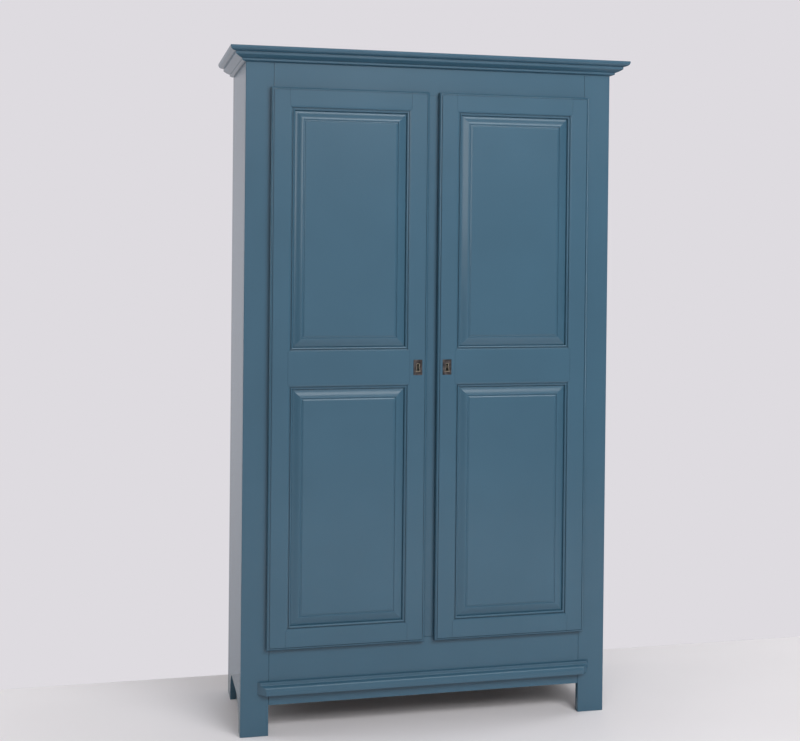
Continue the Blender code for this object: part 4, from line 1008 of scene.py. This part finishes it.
class WARDROBE_OT_pegs(bpy.types.Operator):
    """Turn the coat pegs by spinning their profile"""
    bl_idname = "wardrobe.pegs"
    bl_label = "Coat pegs"

    def profile(self, sizes, low, high, rail_y):
        """Return the peg's (radius, distance in front of the rail) places, back to front."""
        sunk, radius, half = high.y - rail_y, (high.x - low.x) / 2, sizes.head_length / 2
        collar = radius * sizes.collar_share
        run = rail_y - low.y - sizes.head_length - sizes.collar_length
        wave = upright(wave_step(sizes.curve_steps))
        return trace((0.0, -sunk), (sizes.shank, 0.0), (0.0, sunk), (collar - sizes.shank, 0.0),
                     (0.0, sizes.collar_length),
                     (sizes.neck - collar, run * sizes.neck_share, wave),
                     (radius - sizes.neck, run * (1 - sizes.neck_share) + half, wave),
                     (-radius, half, upright(quarter(sizes.curve_steps))))

    def execute(self, context):
        sizes = context.scene.wardrobe_peg
        rail_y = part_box("peg_rail")[0].y
        names = sorted(name for name in frame["nodes"] if name.startswith("coat_peg"))
        low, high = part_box(names[0])
        middle = (low + high) / 2
        draw_line([(middle.x + radius, rail_y - along, middle.z)
                   for radius, along in self.profile(sizes, low, high, rail_y)])
        bpy.ops.mesh.spin(steps=sizes.steps, angle=2 * math.pi, center=middle, axis=FRONT)
        bpy.ops.mesh.select_all(action="SELECT")
        bpy.ops.mesh.remove_doubles(threshold=WELD)
        face_outwards()
        peg = named(names[0].replace("coat", "turned"))
        pick(peg)
        bpy.ops.object.shade_smooth_by_angle(angle=TURNED_ANGLE)
        pegs = [peg] + [copy_piece(peg, name.replace("coat", "turned"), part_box(name)[0] - low)
                        for name in names[1:]]
        for item, name in zip(pegs, names):
            finish_piece(item, "turned_waxed_pine", "carcass", name)
        return {"FINISHED"}


class WARDROBE_OT_hardware(bpy.types.Operator):
    """Finish the hinges, lock cases and bolts, and add the screws that hold them"""
    bl_idname = "wardrobe.hardware"
    bl_label = "Hinges, locks and screws"

    def head(self, sizes):
        """Model one countersunk head with its slot, at the origin and facing up."""
        depth = sizes.proud + sizes.sunk
        head = add_primitive("cylinder", "first_screw", vertices=sizes.steps,
                             radius=sizes.head_radius, depth=depth,
                             location=(0.0, 0.0, depth / 2 - sizes.sunk))
        inset_through(head, UP, [(sizes.edge, sizes.proud * sizes.edge_rise),
                                 (sizes.crown, sizes.proud)])
        reach, half = sizes.head_radius + OVERRUN, sizes.slot_width / 2
        subtract(head, add_block("slot_cutter", (-reach, -half, sizes.proud - sizes.slot_depth),
                                 (reach, half, sizes.proud + OVERRUN)))
        pick(head)
        bpy.ops.object.shade_smooth_by_angle(angle=SCREW_ANGLE)
        return head

    def drive(self, head, name, place, outward, turned, finish, body, slot):
        """Copy the head to a place, facing outward, its slot turned by an angle."""
        copy = copy_piece(head, name)
        facing = Vector(outward).to_track_quat("Z", "Y").to_matrix().to_4x4()
        copy.matrix_world = (Matrix.Translation(place) @ facing @ Matrix.Rotation(turned, 4, "Z"))
        pick(copy)
        bpy.ops.object.transform_apply()
        finish_piece(copy, finish, body)

    def execute(self, context):
        sizes = context.scene.wardrobe_screw
        metal = context.scene.wardrobe_edges.metal
        head = self.head(sizes)
        for label, side in SIDES:
            for number in (1, 2):
                name = f"{label}_hinge_{number}"
                for part in ("frame_leaf", "door_leaf", "pin"):
                    dress_node(f"{name}_{part}", "aged_cast_brass", metal)
                self.hinge_screws(head, name, label, side, sizes)
            for part in ("case", "bolt"):
                dress_node(f"{label}_lock_{part}", "dull_rolled_steel", metal)
            self.case_screws(head, label, sizes)
        bpy.data.objects.remove(head, do_unlink=True)
        return {"FINISHED"}

    def hinge_screws(self, head, name, label, side, sizes):
        """Put three screws in each leaf, on the faces that show when the door is open."""
        frame_leaf, door_leaf, stile = [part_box(node) for node in (
            f"{name}_frame_leaf", f"{name}_door_leaf", f"{label}_front_stile")]
        end, middle = int(side < 0), (frame_leaf[0].z + frame_leaf[1].z) / 2
        leaves = (("frame", frame_leaf[end].x, (stile[0].y + stile[1].y) / 2 + sizes.offset,
                   -side, "carcass"),
                  ("door", door_leaf[end].x + side * sizes.leaf,
                   door_leaf[1].y - sizes.door_leaf_show / 2, side, f"{label}_door"))
        for leaf, x, y, facing, body in leaves:
            for index in (-1, 0, 1):
                self.drive(head, f"{name}_{leaf}_screw_{index + 2}",
                           Vector((x, y, middle + index * sizes.spacing)), (facing, 0, 0),
                           FIRST_TURN + NEXT_TURN * index, "aged_cast_brass", body,
                           "aged_brass")

    def case_screws(self, head, label, sizes):
        """Put a screw in each corner of the lock case."""
        low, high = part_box(f"{label}_lock_case")
        margin = 2 * sizes.head_radius
        levels = (low.z + margin, high.z - margin)
        for row, level, turned in zip(("low", "high"), levels, CASE_TURNS):
            for column, x in (("near", low.x + margin), ("far", high.x - margin)):
                self.drive(head, f"{label}_case_screw_{row}_{column}",
                           Vector((x, high.y, level)), BACK, turned, "dull_rolled_steel",
                           f"{label}_door", "lock_steel")


class WARDROBE_OT_stage(bpy.types.Operator):
    """Set the camera at the photograph's angle, with a pale floor and soft lamps"""
    bl_idname = "wardrobe.stage"
    bl_label = "Stage"

    def camera(self, stage):
        """Aim the camera by its yaw, pitch and roll."""
        data = bpy.data.cameras.new("photo_camera")
        data.lens = stage.lens
        data.shift_y = stage.shift
        camera = bpy.data.objects.new("photo_camera", data)
        camera.matrix_world = (Matrix.Translation(stage.camera)
                               @ Matrix.Rotation(-stage.yaw, 4, "Z")
                               @ Matrix.Rotation(math.pi / 2 + stage.pitch, 4, "X")
                               @ Matrix.Rotation(stage.roll, 4, "Z"))
        bpy.context.scene.collection.objects.link(camera)
        bpy.context.scene.camera = camera

    def floor(self, stage):
        """Lay the floor, which ends at the line of the wall."""
        reach, edge = stage.floor_reach, stage.wall_distance
        deselect()
        bpy.ops.mesh.primitive_plane_add(size=1.0, location=(0.0, (edge - reach) / 2, 0.0))
        floor = named("floor")
        floor.scale = (2 * reach, edge + reach, 1.0)
        pick(floor)
        bpy.ops.object.transform_apply()
        material, add, place = new_material("painted_floor", {
            "Roughness": 0.45, "Specular IOR Level": 0.1})
        cloud = add("TexNoise", {"Vector": place, "Scale": 1.5, "Detail": 3.0})
        shade = add("MapRange", {**NOISE_RANGE, "Value": cloud, "To Min": 0.985, "To Max": 1.015})
        add("VectorMath", {0: list(stage.floor), "Scale": shade}, to="Base Color",
                 operation="SCALE")
        floor.data.materials.append(material)

    def lamp(self, name, place, target, size, power, colour=(1.0, 1.0, 1.0), mirrored=True):
        """Hang one soft lamp that points at a target, and say if gloss mirrors it."""
        data = bpy.data.lights.new(name, "AREA")
        data.shape = "RECTANGLE"
        data.size, data.size_y = size
        data.energy = power
        data.color = colour
        lamp = bpy.data.objects.new(name, data)
        lamp.location = place
        lamp.visible_glossy = mirrored
        aim = Vector(target) - Vector(place)
        lamp.rotation_euler = aim.to_track_quat("-Z", "Y").to_euler()
        bpy.context.scene.collection.objects.link(lamp)

    def world(self, stage):
        """Show the wall's colour behind, and light everything evenly with pale daylight."""
        world = bpy.data.worlds.new("pale_room")
        world.use_nodes = True
        world.node_tree.nodes.clear()
        add = partial(add_node, world.node_tree)
        ray = add("LightPath").outputs
        way = add("TexCoord").outputs["Generated"]
        way = add("SeparateXYZ", {"Vector": way}).outputs
        # The room's front and back walls are pale, and its sides and ceiling are dimmer.
        depth = add("Math", {0: way["Y"]}, operation="ABSOLUTE")
        walls = add("MapRange", {
            "Value": depth, "From Min": 0.86, "From Max": 0.99, "To Min": 0.35, "To Max": 1.0})
        strength = add("Math", {0: walls, 1: ray["Is Camera Ray"]}, operation="MAXIMUM")
        shown = add("Background", {"Color": rgba(stage.wall), "Strength": strength})
        # The light comes from high up, so that gaps and undersides stay dark.
        above = add("MapRange", {
            "Value": way["Z"], "From Min": 0.15, "From Max": 0.6, "To Max": 0.44})
        light = add("Background", {"Color": rgba(srgb("#E9EAEC")), "Strength": above})
        seen = add("Math", {0: ray["Is Camera Ray"], 1: ray["Is Glossy Ray"]}, operation="MAXIMUM")
        mix = add("MixShader", {0: seen, 1: light, 2: shown})
        add("OutputWorld", {"Surface": mix})
        bpy.context.scene.world = world

    def execute(self, context):
        stage = context.scene.wardrobe_stage
        self.camera(stage)
        self.floor(stage)
        self.world(stage)
        chest = (0.0, 0.0, 1.1)
        # The main light is broad, from the right of the camera and as high as the cornice.
        self.lamp("main_lamp", (1.15, -3.05, 2.4), chest, (2.3, 1.2), 81, mirrored=False)
        self.lamp("window_lamp", (-1.7, -3.6, 2.3), chest, (1.1, 1.9), 20)
        self.lamp("high_lamp", (1.5, -7.1, 7.1), (0.0, 0.0, 1.3), (5.2, 1.6), 165,
                  (0.93, 0.97, 1.0))
        self.lamp("glow_lamp", (-0.3, -6.2, 2.9), chest, (3.8, 1.2), 9)
        # The sides are lit by what the wall gives back.
        self.lamp("left_lamp", (-2.3, 0.2, 1.5), (-0.5, 0.1, 1.0), (0.6, 1.8), 17)
        self.lamp("right_lamp", (2.3, 0.2, 1.5), (0.5, 0.1, 1.0), (0.6, 1.8), 15)
        self.lamp("back_lamp", (0.5, 3.0, 4.0), chest, (2.6, 2.0), 16)
        context.scene.view_settings.view_transform = "Standard"
        return {"FINISHED"}


class WARDROBE_PT_panel(bpy.types.Panel):
    """Lists the steps that model and paint the wardrobe"""
    bl_label = "Painted Wardrobe"
    bl_idname = "WARDROBE_PT_panel"
    bl_space_type = "VIEW_3D"
    bl_region_type = "UI"
    bl_category = "Wardrobe"

    def draw(self, context):
        for operator in OPERATORS:
            self.layout.operator(operator.bl_idname)


GROUPS = (
    WARDROBE_PG_finish, WARDROBE_PG_edges, WARDROBE_PG_cornice, WARDROBE_PG_plinth,
    WARDROBE_PG_door, WARDROBE_PG_panel, WARDROBE_PG_plate, WARDROBE_PG_peg,
    WARDROBE_PG_screw, WARDROBE_PG_stage,
)
OPERATORS = (
    WARDROBE_OT_carcass, WARDROBE_OT_inside, WARDROBE_OT_door_frames, WARDROBE_OT_panels,
    WARDROBE_OT_cornice, WARDROBE_OT_plinth, WARDROBE_OT_plates, WARDROBE_OT_pegs,
    WARDROBE_OT_hardware, WARDROBE_OT_stage,
)


def held_as(group):
    """Return the name that a scene holds a group under, such as wardrobe_door."""
    return group.__name__.replace("_PG", "").lower()


def register():
    """Register the groups of sizes, the steps and the panel."""
    for group in GROUPS:
        bpy.utils.register_class(group)
        setattr(bpy.types.Scene, held_as(group), PointerProperty(type=group))
    for entry in (*OPERATORS, WARDROBE_PT_panel):
        bpy.utils.register_class(entry)


def unregister():
    """Undo what register does, last first."""
    for entry in reversed((*OPERATORS, WARDROBE_PT_panel)):
        bpy.utils.unregister_class(entry)
    for group in reversed(GROUPS):
        delattr(bpy.types.Scene, held_as(group))
        bpy.utils.unregister_class(group)


def main():
    """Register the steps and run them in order."""
    register()
    bpy.ops.wardrobe.carcass()
    bpy.ops.wardrobe.inside()
    bpy.ops.wardrobe.door_frames()
    bpy.ops.wardrobe.panels()
    bpy.ops.wardrobe.cornice()
    bpy.ops.wardrobe.plinth()
    bpy.ops.wardrobe.plates()
    bpy.ops.wardrobe.pegs()
    bpy.ops.wardrobe.hardware()
    bpy.ops.wardrobe.stage()
    deselect()


if __name__ == "__main__":
    main()
